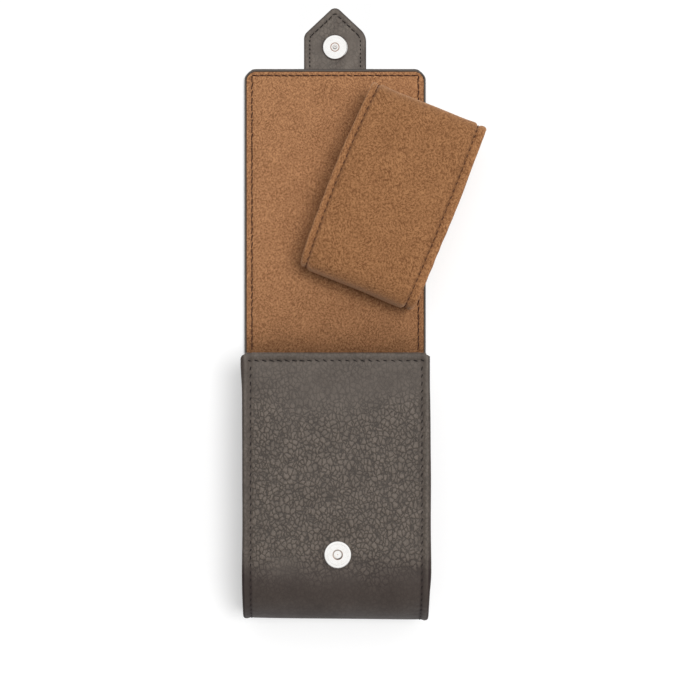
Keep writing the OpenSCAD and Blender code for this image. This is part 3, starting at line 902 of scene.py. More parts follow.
@dataclass(frozen=True)
class Plate(Finish):
    """Bright plated metal with faint handling marks."""

    name: str = "bright_plate"
    metal: Colour = (0.96, 0.95, 0.93)
    tarnish: Colour = (0.92, 0.9, 0.87)
    groove_colour: Colour = (0.6, 0.38, 0.27)
    roughness: float = 0.14

    def lay(self, sheet: NodeSheet, shader: Node) -> None:
        """Adds the haze, the hair-fine lines and the brown-tinted groove.

        Args:
            sheet: Where the nodes go.
            shader: The shader that they feed.
        """
        place = sheet.add("ShaderNodeTexCoord").outputs["Object"]
        haze = sheet.noise(place, 700.0, 3.0).outputs[0]
        hairs = sheet.noise(sheet.vector("MULTIPLY", place, (1.0, 0.06, 1.0)), 9000.0).outputs[0]
        clean = sheet.mix(sheet.step(haze, 0.35, 0.75), rgba(self.metal), rgba(self.tarnish))
        sheet.feed(shader, {
            "Base Color": sheet.mix(sheet.mark("edge"), clean, rgba(self.groove_colour)),
            "Roughness": sheet.step(haze, 0.3, 0.7, self.roughness, self.roughness + 0.05),
            "Metallic": 1.0,
            "Normal": sheet.bump(hairs, 0.05, 0.02 * MM),
        })


@dataclass(frozen=True)
class Filling(Finish):
    """Fibre board or foam: a plain core with specks and a rough face."""

    light: Colour
    dark: Colour
    specks: float
    roughness: float = 0.9

    def lay(self, sheet: NodeSheet, shader: Node) -> None:
        """Adds the specks and slow clouds.

        Args:
            sheet: Where the nodes go.
            shader: The shader that they feed.
        """
        place = sheet.add("ShaderNodeTexCoord").outputs["Object"]
        specks = sheet.noise(place, self.specks, 3.0, 0.7).outputs[0]
        cloud = sheet.group(CLOUDS, Place=place, Size=12 * MM, Contrast=0.7)["Tone"]
        tone = sheet.times(sheet.step(specks, 0.3, 0.7), cloud)
        sheet.feed(shader, {
            "Base Color": sheet.mix(tone, rgba(self.dark), rgba(self.light)),
            "Roughness": self.roughness,
            "Normal": sheet.bump(specks, 0.5, 0.15 * MM),
        })


def new_material(name: str) -> tuple[bpy.types.Material, NodeSheet, Node]:
    """Starts a material.

    Args:
        name: The material's name.

    Returns:
        The material, a sheet on its tree and its shader.
    """
    material = bpy.data.materials.new(name)
    material.use_nodes = True
    return material, NodeSheet(material.node_tree), material.node_tree.nodes["Principled BSDF"]


LEATHER = Leather()
LINING = Suede("tan_lining", light=(0.52, 0.262, 0.124), dark=(0.18, 0.078, 0.036))
PILLOW_SUEDE = Suede(
    "tan_pillow_suede", light=(0.43, 0.21, 0.092), dark=(0.14, 0.055, 0.022), fibres=1350.0, sheen=0.5
)
PILLOW_THREAD = Thread("pillow_thread", light=(0.16, 0.068, 0.03), dark=(0.07, 0.026, 0.011))
THREAD = Thread("dark_thread", light=(0.035, 0.028, 0.024), dark=(0.012, 0.009, 0.008))
BROWN_THREAD = Thread("brown_thread", light=(0.1, 0.034, 0.014), dark=(0.045, 0.014, 0.006))
PLATE = Plate()
MAGNET = Plate("plated_magnet", metal=(0.13, 0.13, 0.14), tarnish=(0.08, 0.08, 0.085), roughness=0.4)
BOARD = Filling("fibre_board", light=(0.52, 0.43, 0.3), dark=(0.33, 0.26, 0.17), specks=1300.0)
FOAM = Filling("cut_foam", light=(0.74, 0.7, 0.6), dark=(0.5, 0.47, 0.39), specks=900.0)


# --- Stitches ---


@dataclass(frozen=True)
class Seam:
    """A row of stitches: where each sits, which way it runs and which way is out."""

    centres: Array
    along: Array
    out: Array


@dataclass(frozen=True)
class Needle:
    """How a stitch is made."""

    length: float = 2.3 * MM
    thread: float = 0.52 * MM
    arch: float = 0.16 * MM
    dive: float = 0.34 * MM
    slant: float = -20.0
    waver: float = 5.0
    rings: int = 8
    sides: int = 8

    def sew(self, name: str, seams: list[Seam]) -> Piece:
        """Makes one piece of all the stitches of some seams.

        Args:
            name: The piece's name.
            seams: The rows to sew.

        Returns:
            The piece.
        """
        centres = np.concatenate([seam.centres for seam in seams])
        along = np.concatenate([seam.along for seam in seams])
        out = np.concatenate([seam.out for seam in seams])
        across = np.cross(out, along)
        waver = self.waver * np.random.default_rng(len(centres)).normal(size=(len(centres), 1))
        lean = np.radians(self.slant + waver)
        run = along * np.cos(lean) + across * np.sin(lean)
        beside = np.cross(out, run)
        t = np.linspace(-1.0, 1.0, self.rings)
        rise = self.arch * (1.0 - t**2) - self.dive * t**4
        radius = self.thread / 2 * np.sqrt(np.clip(1.0 - 0.9 * t**8, 0.05, 1.0))
        angles = 2.0 * math.pi * np.arange(self.sides) / self.sides
        offset_side = radius[:, None] * np.cos(angles)
        offset_out = rise[:, None] + radius[:, None] * np.sin(angles) * 0.8
        offset_run = np.broadcast_to((t * self.length / 2)[:, None], offset_side.shape)
        points = (
            centres[:, None, None, :]
            + run[:, None, None, :] * offset_run[None, :, :, None]
            + beside[:, None, None, :] * offset_side[None, :, :, None]
            + out[:, None, None, :] * offset_out[None, :, :, None]
        )
        ids = numbered(self.rings, self.sides)
        faces = [tuple(i + k * ids.size for i in face) for k in range(len(centres)) for face in tube(ids)]
        piece = new_piece(name, points.reshape(-1, 3), faces)
        around = np.broadcast_to(angles * self.thread / 2, offset_side.shape)
        place = np.stack([around, offset_run, np.zeros_like(around)], -1).reshape(-1, 3)
        mark(piece, "place", np.tile(place, (len(centres), 1)))
        return piece


def straight_seam(start: Vector, end: Vector, out: Vector, pitch: float) -> Seam:
    """A straight row of stitches, centred between two points.

    Args:
        start: The first point.
        end: The second point.
        out: Which way is out.
        pitch: The distance between stitches.

    Returns:
        The row.
    """
    run = end - start
    count = max(1, int(run.length // pitch))
    places = (np.arange(count) - (count - 1) / 2) * pitch
    heading = np.array(run.normalized())
    middle = np.array((start + end) / 2)
    return Seam(
        middle + places[:, None] * heading,
        np.tile(heading, (count, 1)),
        np.tile(np.array(out), (count, 1)),
    )


# --- Pouch ---


class PouchPath:
    """The pouch's outer face in the YZ plane, from its mouth over the front and bottom to its back."""

    def __init__(self, plan: CasePlan, rolled: bool, back_end: float) -> None:
        """Lays out the path.

        Args:
            plan: The shared sizes.
            rolled: Whether it starts with the leather's turned edge at the mouth.
            back_end: The Y at which it ends on the back.
        """
        front, back = plan.front_corner, plan.back_corner
        roll = plan.leather if rolled else 0.0
        self._points: list[tuple[Array, Array, Array, Array]] = []
        if rolled:
            self._arc(plan.mouth - roll, plan.depth - roll, roll, -90.0, 90.0)
        self.roll_length = math.pi * roll
        self._line(plan.mouth - roll, plan.depth, plan.bottom + front, plan.depth)
        self.front_length = plan.mouth - roll - plan.bottom - front
        self._arc(plan.bottom + front, plan.depth - front, front, 90.0, 180.0)
        self._line(plan.bottom, plan.depth - front, plan.bottom, back)
        self._arc(plan.bottom + back, back, back, 180.0, 270.0)
        self._line(plan.bottom + back, 0.0, back_end, 0.0)
        self.y, self.z, self.ny, self.nz = map(np.concatenate, zip(*self._points))
        steps = np.hypot(np.diff(self.y), np.diff(self.z))
        self.s = np.concatenate([[0.0], np.cumsum(steps)]) - self.roll_length
        self.bend_length = math.pi / 2 * front
        self.low_length = plan.depth - front - back
        self.turn_length = math.pi / 2 * back
        self.back_start = self.front_length + self.bend_length + self.low_length + self.turn_length
        self.end = float(self.s[-1])

    def _arc(self, y: float, z: float, radius: float, start: float, end: float) -> None:
        """Adds a round stretch about (y, z)."""
        turns = np.radians(np.linspace(start, end, 91))
        out_y, out_z = np.cos(turns), np.sin(turns)
        self._points.append((y + radius * out_y, z + radius * out_z, out_y, out_z))

    def _line(self, y0: float, z0: float, y1: float, z1: float) -> None:
        """Adds a straight stretch from (y0, z0) to (y1, z1)."""
        t, length = np.linspace(0.0, 1.0, 41), math.hypot(y1 - y0, z1 - z0)
        out_y, out_z = 0 * t + (z1 - z0) / length, 0 * t - (y1 - y0) / length
        self._points.append((y0 + (y1 - y0) * t, z0 + (z1 - z0) * t, out_y, out_z))

    def at(self, along: Array) -> list[Array]:
        """The path's Y and Z and its outward direction at some distances along it."""
        return [np.interp(along, self.s, values) for values in (self.y, self.z, self.ny, self.nz)]

    def place(self, across: Array, along: Array, depth: Array) -> Array:
        """Bends places across, along and into the wrap into points."""
        y, z, out_y, out_z = self.at(along)
        return np.stack([across + 0 * y, y - out_y * depth, z - out_z * depth], -1)

    def seam(self, across: float, places: Array, depth: Array) -> Seam:
        """A row of stitches along the path.

        Args:
            across: How far it is from the middle.
            places: How far along the path each stitch is.
            depth: How far it is sunk.

        Returns:
            The row.
        """
        still = np.zeros(len(places))
        _, _, out_y, out_z = self.at(places)
        heading, out = np.stack([still, -out_z, out_y], -1), np.stack([still, out_y, out_z], -1)
        return Seam(self.place(still + across, places, depth), heading, out)


@dataclass
class Pouch:
    """The pouch: its wrap, gussets, linings and stitches."""

    plan: CasePlan
    fine: float = 0.5 * MM
    coarse: float = 1.2 * MM
    furrow: float = 0.34 * MM
    furrow_width: float = 0.8 * MM
    crown: float = 0.7 * MM
    sag: float = 0.2 * MM
    lip_swell: float = 0.42 * MM
    mouth_corner: float = 2.2 * MM
    lean: float = 0.5 * MM
    thread_sink: float = 0.1 * MM

    def __post_init__(self) -> None:
        """Lays out the wrap's path."""
        self.path = PouchPath(self.plan, True, self.plan.mouth - self.plan.wrap_end_gap)
        self.snap, self.snap_radius, _ = seat("front_snap_cup", self.plan.cup_shift)

    def build(self) -> None:
        """Builds and dresses every piece of the pouch."""
        self.wrap()
        self.lining()
        self.stitches()
        for side in Side:
            self.gusset(side)
            self.gusset_lining(side)
            self.gusset_binding(side)

    def front_share(self, s: Array) -> Array:
        """1 on the front panel, fading out in the bottom curve and at the mouth's roll."""
        past = smooth(s - self.path.front_length, self.path.bend_length * 0.5, self.path.bend_length)
        return (1.0 - past) * smooth(s, -1 * MM, 3 * MM)

    def relief(self, across: Array, s: Array) -> Array:
        """How far the wrap's face stands out over the plain panel.

        Args:
            across: Places across.
            s: Places along the wrap's path.

        Returns:
            The rise at each place.
        """
        plan, path = self.plan, self.path
        front = self.front_share(s)
        seam = np.abs(across) - plan.pouch_seam
        inside = smooth(-seam, 0.0, 9 * MM)
        radius = np.hypot(across - self.snap.x, s - self.snap_place())
        free = smooth(radius, self.snap_radius - 0.2 * MM, self.snap_radius + 13 * MM)
        dome = self.crown * smooth(s, 4 * MM, 30 * MM) + self.sag * ripple(across, s, 34 * MM, 5)
        dome = dome * inside * front * free
        under = smooth(s - path.front_length, path.bend_length * 0.5, path.bend_length)
        under = under * (1.0 - smooth(s, path.back_start - path.turn_length, path.back_start))
        lips = self.lip_swell * bell(seam - 2.2 * MM, 1.1 * MM) * np.maximum(front, under)
        lean = self.lean * (across / plan.half - 0.3) * under
        side_furrow = self.furrow * bell(seam, self.furrow_width)
        row = plan.mouth_seam_inset - plan.leather
        mouth_furrow = self.furrow * bell(s - row, self.furrow_width) * smooth(-seam, -1 * MM, 0.0)
        mouth_roll = 0.2 * MM * bell(s, 1.2 * MM) * smooth(-seam, -2 * MM, 0.0)
        pucker = puckers(s, seam, plan.stitch_pitch, 1.3 * MM, 1 * MM)
        pucker = pucker + puckers(across, s - row, plan.stitch_pitch, 1.3 * MM, 1 * MM)
        dent = 0.12 * MM * bell(np.clip(radius - self.snap_radius, 0.0, None), 1.2 * MM)
        rise = dome + lips + lean + mouth_roll - mouth_furrow * front - dent
        rise = rise + 0.06 * MM * pucker * front
        return rise - side_furrow * (0.4 + 0.6 * front)

    def shade(self, across: Array, s: Array) -> Array:
        """How much darker the wrap is painted: painted shade in its lower curve, furrows and left lip and at
        its edges (with the edge paint), painted highlight on its lip crests, and a darker band below the
        mouth.

        Args:
            across: Places across.
            s: Places along the wrap's path.

        Returns:
            The painted shade at each place, below 0 where a highlight is painted.
        """
        plan, path = self.plan, self.path
        slow = s + 2 * MM * ripple(across, s, 40 * MM, 11)
        # Painted shade on the lower curve, which turns away from the light.
        low = 0.48 * smooth(slow, path.front_length - 12 * MM, path.front_length + 4 * MM)
        low = low + 0.14 * smooth(slow, path.front_length + 14 * MM, path.front_length + 26 * MM)
        side = np.abs(across) - plan.pouch_seam
        # Darker towards the outer edges: partly the edge paint, partly painted shade where the edge rounds
        # away.
        edge = 0.42 * smooth(np.abs(across), plan.half - 1.2 * MM, plan.half - 0.5 * MM)
        # Painted highlight along each lip's crest, fading towards the bottom.
        crest = -0.24 * bell(side - 2.5 * MM, 0.6 * MM) * (1.0 + 0.4 * ripple(across, s, 9 * MM, 12))
        crest = crest * (1.0 - 0.75 * smooth(s, 20 * MM, 105 * MM))
        # Painted shade in the side furrows and along the mouth row.
        furrow = 0.25 * bell(side, 0.7 * MM)
        row = 0.12 * bell(s - plan.mouth_seam_inset + plan.leather, 0.7 * MM)
        # A darker band just below the mouth.
        top = 0.09 * bell(s - 11 * MM, 9 * MM) * smooth(-side, 0.0, 2 * MM)
        # Painted shade on the left lip, the side away from the light.
        left = 0.13 * smooth(-across, plan.pouch_seam, plan.pouch_seam + 1.5 * MM)
        return low + edge + crest + furrow + row + top + left

    def snap_place(self) -> float:
        """Where the snap sits along the wrap's path."""
        return self.plan.mouth - self.plan.leather - self.snap.y

    def grain(self, across: Array, s: Array) -> Array:
        """How strongly the grain shows: full on the front, smoother at its ends and on the lips.

        Args:
            across: Places across.
            s: Places along the wrap's path.

        Returns:
            Its strength at each place.
        """
        plan, path = self.plan, self.path
        mouth = 0.3 + 0.7 * smooth(s + 6 * MM * ripple(across, s, 30 * MM, 8), 2 * MM, 36 * MM)
        slow = s + 4 * MM * ripple(across, s, 24 * MM, 9) - path.front_length
        low = 1.0 - 0.78 * smooth(slow, -8 * MM, 6 * MM)
        lips = 1.0 - 0.6 * smooth(np.abs(across), plan.pouch_seam - 3 * MM, plan.pouch_seam + 1 * MM)
        back = 0.6 + 0.4 * (1.0 - smooth(s, path.back_start - 8 * MM, path.back_start))
        end = 1.0 - smooth(s, path.end - 4 * MM, path.end - 1 * MM)
        return mouth * low * lips * back * end

    def wrap(self) -> None:
        """The outer leather: one strip from the mouth's turned edge round to the back."""
        plan, path = self.plan, self.path
        s = np.concatenate([
            spread(-path.roll_length, 0.0, 0.3 * MM)[:-1],
            spread(0.0, path.back_start, self.fine)[:-1],
            spread(path.back_start, path.end, self.coarse),
        ])
        half = plan.half - plan.leather / 2 + 0.22 * MM * ripple(s, 0 * s, 46 * MM, 3) * self.front_share(s)
        cut = np.clip(self.mouth_corner - 0.4 * MM - s, 0.0, self.mouth_corner)
        half = half - 0.75 * (self.mouth_corner - np.sqrt(self.mouth_corner**2 - cut**2))
        front = self.front_share(s)
        left = half + 0.1 * MM * front + 0.85 * MM * bell(s - 3 * MM, 9 * MM)
        low = smooth(s, path.front_length - 2 * MM, path.front_length + 11 * MM)
        right = half + 0.5 * MM * smooth(s, 4 * MM, 60 * MM) * (1.0 - low)
        rows = Rows(s, -left, right)
        patch = panel(rows, int(2 * plan.half / self.fine), half_round(plan.leather), False)
        patch.depth -= self.relief(patch.across, patch.along) * (patch.zone != Zone.BACK)
        patch.depth = np.where(patch.zone == Zone.BACK, patch.depth, np.minimum(patch.depth, plan.leather))
        roll = patch.along < 0.0
        patch.depth = np.where(roll & (patch.zone == Zone.BACK), plan.leather * 0.92, patch.depth)
        marks = (self.grain(patch.across, patch.along), self.shade(patch.across, patch.along))
        piece = panel_piece("pouch_wrap", patch, path.place, *marks)
        attach(piece, LEATHER, ("outer_wrap",))
        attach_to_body(piece, "pouch")

    def lining(self) -> None:
        """The suede inside the wrap."""
        plan = self.plan
        path = PouchPath(plan, False, plan.mouth - plan.wrap_end_gap)
        s = spread(0.15 * MM, path.end, self.coarse)
        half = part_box("shell_lining")[1].x - 0.1 * MM
        thick = plan.wall - plan.backed
        rim = [(0.0, -thick * 0.5), (0.0, -thick)]
        patch = panel(straight_rows(s, half), 60, rim, False)
        patch.depth += plan.wall
        piece = panel_piece("pouch_lining", patch, path.place)
        attach(piece, LINING, ("shell_lining",))
        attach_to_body(piece, "pouch")

    def stitches(self) -> None:
        """The rows along both lips, inside and out, and along the mouth."""
        plan, path, pitch = self.plan, self.path, self.plan.stitch_pitch
        row = plan.mouth_seam_inset - plan.leather
        first = row + pitch * 1.05
        places = first + pitch * np.arange(int((path.end - first) // pitch))
        seams = []
        for side in Side:
            across = side.value * plan.pouch_seam
            sunk = self.thread_sink * 0.6 - self.relief(np.full(len(places), across), places)
            seams.append(path.seam(across, places, sunk))
            under = path.seam(across, places, np.full(len(places), 2 * plan.leather))
            seams.append(Seam(under.centres, under.along, -under.out))
        height = plan.depth - self.thread_sink - self.furrow * 0.5
        y = plan.mouth - plan.mouth_seam_inset
        seams.append(straight_seam(
            Vector((-plan.pouch_seam - pitch * 0.7, y, height)),
            Vector((plan.pouch_seam + pitch * 0.7, y, height)),
            Vector((0, 0, 1)),
            pitch,
        ))
        piece = Needle(length=2.5 * MM, thread=0.48 * MM, slant=-17.0, waver=8.0).sew("pouch_stitches", seams)
        attach(piece, THREAD, ("pouch_stitching",))
        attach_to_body(piece, "pouch")

    def gusset_rows(self, inset: float, step: float) -> Rows:
        """Rows of a side wall, from its top edge down.

        Args:
            inset: How far it is set in from the wrap's outer face.
            step: The distance between rows.

        Returns:
            The rows.
        """
        plan, top = self.plan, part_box("right_gusset")[1].y
        radii = (plan.back_corner - inset, plan.front_corner - inset)
        return round_end_rows(0.0, top - plan.bottom - inset, (inset, plan.depth - inset), radii, step)

    def gusset(self, side: Side) -> None:
        """A side wall that turns out into lips under the wrap's edges.

        Args:
            side: The side that it is on.
        """
        plan = self.plan
        skin = plan.leather
        bend = 1.5 * MM
        low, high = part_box("right_gusset")
        face_x = low.x + skin
        reach = high.x - face_x
        turns = np.linspace(0.0, math.pi / 2, 5)[1:]
        rim = [(bend * math.sin(a), -bend * (1 - math.cos(a))) for a in turns]
        rim += [(bend, -bend - (reach - skin / 2 - bend) * k / 4) for k in range(1, 5)]
        tip = np.linspace(0.0, math.pi, 6)[1:]
        rim += [(bend + skin / 2 * (1 - math.cos(a)), skin / 2 * (1 - math.sin(a)) - reach) for a in tip]
        rim += [(bend + skin, 0.0), (bend + skin, skin)]
        patch = panel(self.gusset_rows(2 * skin + bend, 0.7 * MM), 60, rim, True)
        middle = plan.depth / 2
        bow = 0.9 * MM * bell(patch.across - middle, 13 * MM) * smooth(patch.along, 0.0, 30 * MM)
        bow = bow * (1 - smooth(patch.along, 60 * MM, 105 * MM)) * (patch.zone == Zone.FACE)
        patch.depth += bow + 0.12 * MM * patch.wave(30 * MM, 21) * (patch.zone == Zone.FACE)
        place = standing(side, face_x, high.y, -1)
        grain = 0.5 + 0.3 * patch.wave(30 * MM, 22)
        piece = panel_piece(f"{side.word}_gusset_leather", patch, place, np.clip(grain, 0.2, 0.9))
        attach(piece, LEATHER, (f"{side.word}_gusset",))
        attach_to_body(piece, "pouch")

    def gusset_lining(self, side: Side) -> None:
        """The suede on the inside of a side wall.

        Args:
            side: The side that it is on.
        """
        plan = self.plan
        low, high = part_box("right_gusset_lining")
        thick = high.x - low.x
        rim = [(0.0, thick * 0.5), (0.0, thick)]
        patch = panel(self.gusset_rows(plan.wall + 0.1 * MM, 1.2 * MM), 36, rim, True)
        place = standing(side, low.x, high.y, 1)
        piece = panel_piece(f"{side.word}_side_lining", patch, place)
        attach(piece, LINING, (f"{side.word}_gusset_lining",))
        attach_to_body(piece, "pouch")

    def gusset_binding(self, side: Side) -> None:
        """The leather that is turned over a side wall's top edge.

        Args:
            side: The side that it is on.
        """
        plan = self.plan
        low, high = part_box("right_gusset_lining")
        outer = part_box("right_gusset")[0].x + plan.leather
        half = (outer - low.x) / 2 + 0.12 * MM
        rise = 1 * MM
        turns = np.linspace(0.0, math.pi, 15)
        z = spread(plan.leather + 0.1 * MM, plan.depth - plan.leather - 0.1 * MM, 0.9 * MM)
        section = [(half * math.cos(a), rise * math.sin(a) ** 0.7) for a in turns]
        section += [(-half, -3 * MM), (half, -3 * MM)]
        points = [
            (side.value * (low.x + half - 0.12 * MM + out), high.y + up, height)
            for height in z
            for out, up in section
        ]
        faces = tube(numbered(len(z), len(section)))
        piece = new_piece(f"{side.word}_gusset_binding", np.array(points), faces)
        mark(piece, "place", np.array([(p[2], p[1] + p[0], 0.0) for p in points]))
        mark(piece, "edge", np.zeros(len(points)))
        mark(piece, "grain", np.full(len(points), 0.25))
        attach(piece, LEATHER)
        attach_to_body(piece, "pouch")


# --- Flap ---


@dataclass
class Flap:
    """The flap: its leather with painted edges, its lining and its stitches."""

    plan: CasePlan
    edge_round: float = 0.8 * MM
    furrow: float = 0.3 * MM
    furrow_width: float = 0.75 * MM
    blend_before: float = 2 * MM
    blend_after: float = 2.8 * MM
    end_edge: float = 0.4 * MM
    row_rise: float = 0.35 * MM
    front_before: float = 4.7 * MM
    front_after: float = 4.3 * MM
    lining_gap: float = 0.15 * MM
    lining_round: float = 0.15 * MM
    leather_columns: int = 110
    lining_columns: int = 160

    def build(self) -> None:
        """Builds and dresses every piece of the flap."""
        self.fold_leather()
        self.fold_lining()
        self.leather()
        self.lining()
        self.stitches()

    def bend_back(self, piece: Piece) -> None:
        """Bakes a piece's transform into its mesh; where the back fold's bend starts and ends is read but not
        used, so the piece is not bent.
        """
        start, end = self.plan.bend("flap_back_fold", self.blend_before, self.blend_after)
        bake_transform(piece)

    def bend_front(self, piece: Piece) -> None:
        """Bakes a piece's transform into its mesh; where the front fold's bend starts and ends is read but
        not used, so the piece is not bent.
        """
        start, end = self.plan.bend("flap_front_fold", self.front_before, self.front_after)
        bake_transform(piece)

    def edge_rim(self) -> Profile:
        """The rim of the flap's leather: round the outside, up the painted edge and down inside.

        Returns:
            Steps outwards and into the material.
        """
        plan = self.plan
        out, top = self.edge_round, plan.edge_top
        crest = plan.painted_edge / 2
        rim = quarter_round(out)
        rim += [(out, top * 0.5), (out, top - crest)]
        turns = np.linspace(0.0, math.pi, 6)[1:]
        rim += [(out - crest + crest * math.cos(a), top - crest + crest * math.sin(a)) for a in turns]
        rim += [(out - 2 * crest, plan.leather), (out - 2 * crest - 0.1 * MM, plan.leather)]
        return rim

    def grain(self, patch: Patch) -> Array:
        """The grain on the flap's outer face, fading where two pieces meet.

        Args:
            patch: The panel.

        Returns:
            Its strength at each point.
        """
        seam = np.abs(patch.along - self.plan.split)
        side = 1.0 - 0.5 * smooth(np.abs(patch.across), self.plan.flap_seam, self.plan.flap_half)
        start = smooth(patch.along, self.plan.mouth - 4 * MM, self.plan.mouth)
        return (0.7 + 0.15 * patch.wave(30 * MM, 31)) * side * smooth(seam, 1 * MM, 4 * MM) * start

    def fold_leather(self) -> None:
        """The leather from the pouch's back over the back fold."""
        plan = self.plan
        start = plan.mouth - plan.wrap_end_gap
        y = spread(start, plan.split, 0.6 * MM)
        wide = smooth(y, plan.mouth - 2.5 * MM, plan.mouth + 0.1 * MM)
        half = plan.half * (1 - wide) + plan.flap_half * wide
        rows = straight_rows(y, half - self.edge_round)
        patch = panel(rows, self.leather_columns, self.edge_rim(), False)
        tall = smooth(patch.along, plan.mouth - 1.6 * MM, plan.mouth - 0.1 * MM)
        limit = plan.leather + (plan.edge_top - plan.leather) * tall
        patch.depth = np.minimum(patch.depth, limit)
        piece = panel_piece("back_fold_leather_strip", patch, lying(0.0, 1), self.grain(patch))
        attach(piece, LEATHER, ("back_fold_leather", "flap_top_leather"))
        self.bend_back(piece)

    def leather(self) -> None:
        """The flap's leather past the back fold, with its painted edge."""
        plan, out = self.plan, self.edge_round
        rows = round_end_rows(
            plan.split,
            plan.flap_end - out,
            (-plan.flap_half + out, plan.flap_half - out),
            (plan.flap_corner - out,) * 2,
            0.8 * MM,
        )
        patch = panel(rows, self.leather_columns, self.edge_rim(), True)
        left = plan.flap_end - patch.along
        inner = smooth(left, 0.2 * MM, plan.painted_edge) * (patch.depth > plan.leather * 1.01)
        patch.along -= self.end_edge * inner * smooth(-left, -4 * MM, -2 * MM)
        piece = panel_piece("flap_leather", patch, lying(0.0, 1), self.grain(patch))
        attach(piece, LEATHER, ("front_fold_leather", "flap_front_leather"))
        self.bend_front(piece)

    def lining_relief(self, patch: Patch) -> Array:
        """How far the lining's face lies below its plain height: furrows, puckers and soft waves.

        Args:
            patch: The panel.

        Returns:
            The depth at each point.
        """
        plan = self.plan
        side = np.abs(patch.across) - plan.flap_seam
        row = patch.along - (plan.flap_end - plan.flap_seam_inset + self.row_rise)
        in_rows = 1.0 - smooth(row, 0.2 * MM, 1.2 * MM)
        in_sides = 1.0 - smooth(side, 0.2 * MM, 1.2 * MM)
        away = smooth(patch.along, plan.mouth, plan.mouth + 1 * MM)
        wide = self.furrow_width
        furrow = np.maximum(bell(side, wide) * in_rows * away, bell(row, wide) * in_sides)
        pucker = puckers(patch.along, side, plan.stitch_pitch, 1.2 * MM, 0.9 * MM) * in_rows * away
        pucker += puckers(patch.across, row, plan.stitch_pitch, 1.2 * MM, 0.9 * MM) * in_sides
        edge = np.maximum(np.abs(patch.across) - plan.flap_half, patch.along - plan.flap_end)
        rolled = 0.1 * MM * smooth(edge, -1.6 * MM, -0.7 * MM) * away
        join = smooth(np.abs(patch.along - plan.split), 1 * MM, 4 * MM)
        wave = 0.06 * MM * patch.wave(26 * MM, 41) * join * away
        return self.furrow * furrow + 0.05 * MM * pucker + rolled + wave

    def lining_shade(self, patch: Patch) -> Array:
        """How much darker the lining is painted: a painted shadow of the pouch's wall towards the mouth, and
        painted shade along its furrows.

        Args:
            patch: The panel.

        Returns:
            The painted shade at each point.
        """
        plan = self.plan
        # Painted shadow, darkest at the mouth where the pouch's front wall stands over the lining.
        past = patch.along - plan.mouth + 1.5 * MM * patch.wave(18 * MM, 43)
        fold = 0.24 * (1.0 - smooth(past, 1 * MM, 15 * MM)) + 0.16 * (1.0 - smooth(past, 0.0, 42 * MM))
        # Painted shade along the side furrows.
        side = bell(np.abs(patch.across) - plan.flap_seam, 0.5 * MM)
        return fold + 0.1 * side * (1.0 - smooth(patch.along, plan.flap_end - 4 * MM, plan.flap_end - 3 * MM))

    def lining_rim(self) -> Profile:
        """The cut edge of the lining.

        Returns:
            Steps outwards and into the material.
        """
        thick = self.plan.wall - self.plan.backed
        soft = self.lining_round
        return quarter_round(soft, 2) + [(soft, thick * 0.6), (soft, thick)]

    def fold_lining(self) -> None:
        """The lining from inside the pouch over the back fold, full width past the mouth."""
        plan = self.plan
        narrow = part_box("back_fold_lining")[1].x - 0.1 * MM
        wide = plan.flap_half - plan.painted_edge - self.lining_gap
        y = spread(plan.mouth - plan.wrap_end_gap, plan.split, 0.35 * MM)
        share = smooth(y, plan.mouth - 1.2 * MM, plan.mouth + 0.2 * MM)
        rows = straight_rows(y, narrow * (1 - share) + wide * share)
        patch = panel(rows, self.lining_columns, self.lining_rim(), False)
        patch.depth += self.lining_relief(patch) * (patch.zone == Zone.FACE)
        shade = self.lining_shade(patch)
        piece = panel_piece("back_fold_lining_strip", patch, lying(plan.wall, -1), shade=shade)
        attach(piece, LINING, ("back_fold_lining", "flap_top_lining"))
        self.bend_back(piece)

    def lining(self) -> None:
        """The flap's lining past the back fold."""
        plan = self.plan
        inset = plan.painted_edge + self.lining_gap
        side = plan.flap_half - inset
        radius = plan.flap_corner - inset
        end = plan.flap_end - inset - self.end_edge
        rows = round_end_rows(plan.split, end, (-side, side), (radius, radius), 0.5 * MM)
        patch = panel(rows, self.lining_columns, self.lining_rim(), True)
        patch.depth += self.lining_relief(patch) * (patch.zone == Zone.FACE)
        piece = panel_piece("flap_lining", patch, lying(plan.wall, -1), shade=self.lining_shade(patch))
        attach(piece, LINING, ("front_fold_lining", "flap_front_lining"))
        self.bend_front(piece)

    def stitches(self) -> None:
        """The rows along both sides and the end, and their few stitches on the back fold."""
        plan, pitch = self.plan, self.plan.stitch_pitch
        height = plan.wall - self.furrow * 0.75
        last = plan.flap_end - plan.flap_seam_inset + self.row_rise
        fold_end = plan.hinge("flap_back_fold").y + self.blend_after
        places = last - pitch * (0.5 + np.arange(int((last - plan.mouth) // pitch)))
        corner = plan.flap_seam
        even = 2 * corner / round(2 * corner / pitch) * 0.9999
        up = Vector((0, 0, 1))
        sides = [straight_seam(Vector((-corner, last, height)), Vector((corner, last, height)), up, even)]
        fold = []
        for row, chosen in ((sides, places > fold_end), (fold, places <= fold_end)):
            y = places[chosen]
            still = np.zeros_like(y)
            for side in Side:
                centres = np.stack([still + side.value * plan.flap_seam, y, still + height], -1)
                row.append(Seam(centres, *np.tile([[[0.0, -1.0, 0.0]], [[0.0, 0.0, 1.0]]], (1, len(y), 1))))
        nodes = ("flap_top_stitching", "flap_front_stitching")
        needle = Needle(length=3.5 * MM, thread=0.56 * MM, dive=0.24 * MM, slant=-4.0)
        piece = needle.sew("flap_stitches", sides)
        attach(piece, BROWN_THREAD, nodes)
        self.bend_front(piece)
        piece = needle.sew("back_fold_stitches", fold)
        attach(piece, BROWN_THREAD)
        self.bend_back(piece)


# --- Snap tab ---


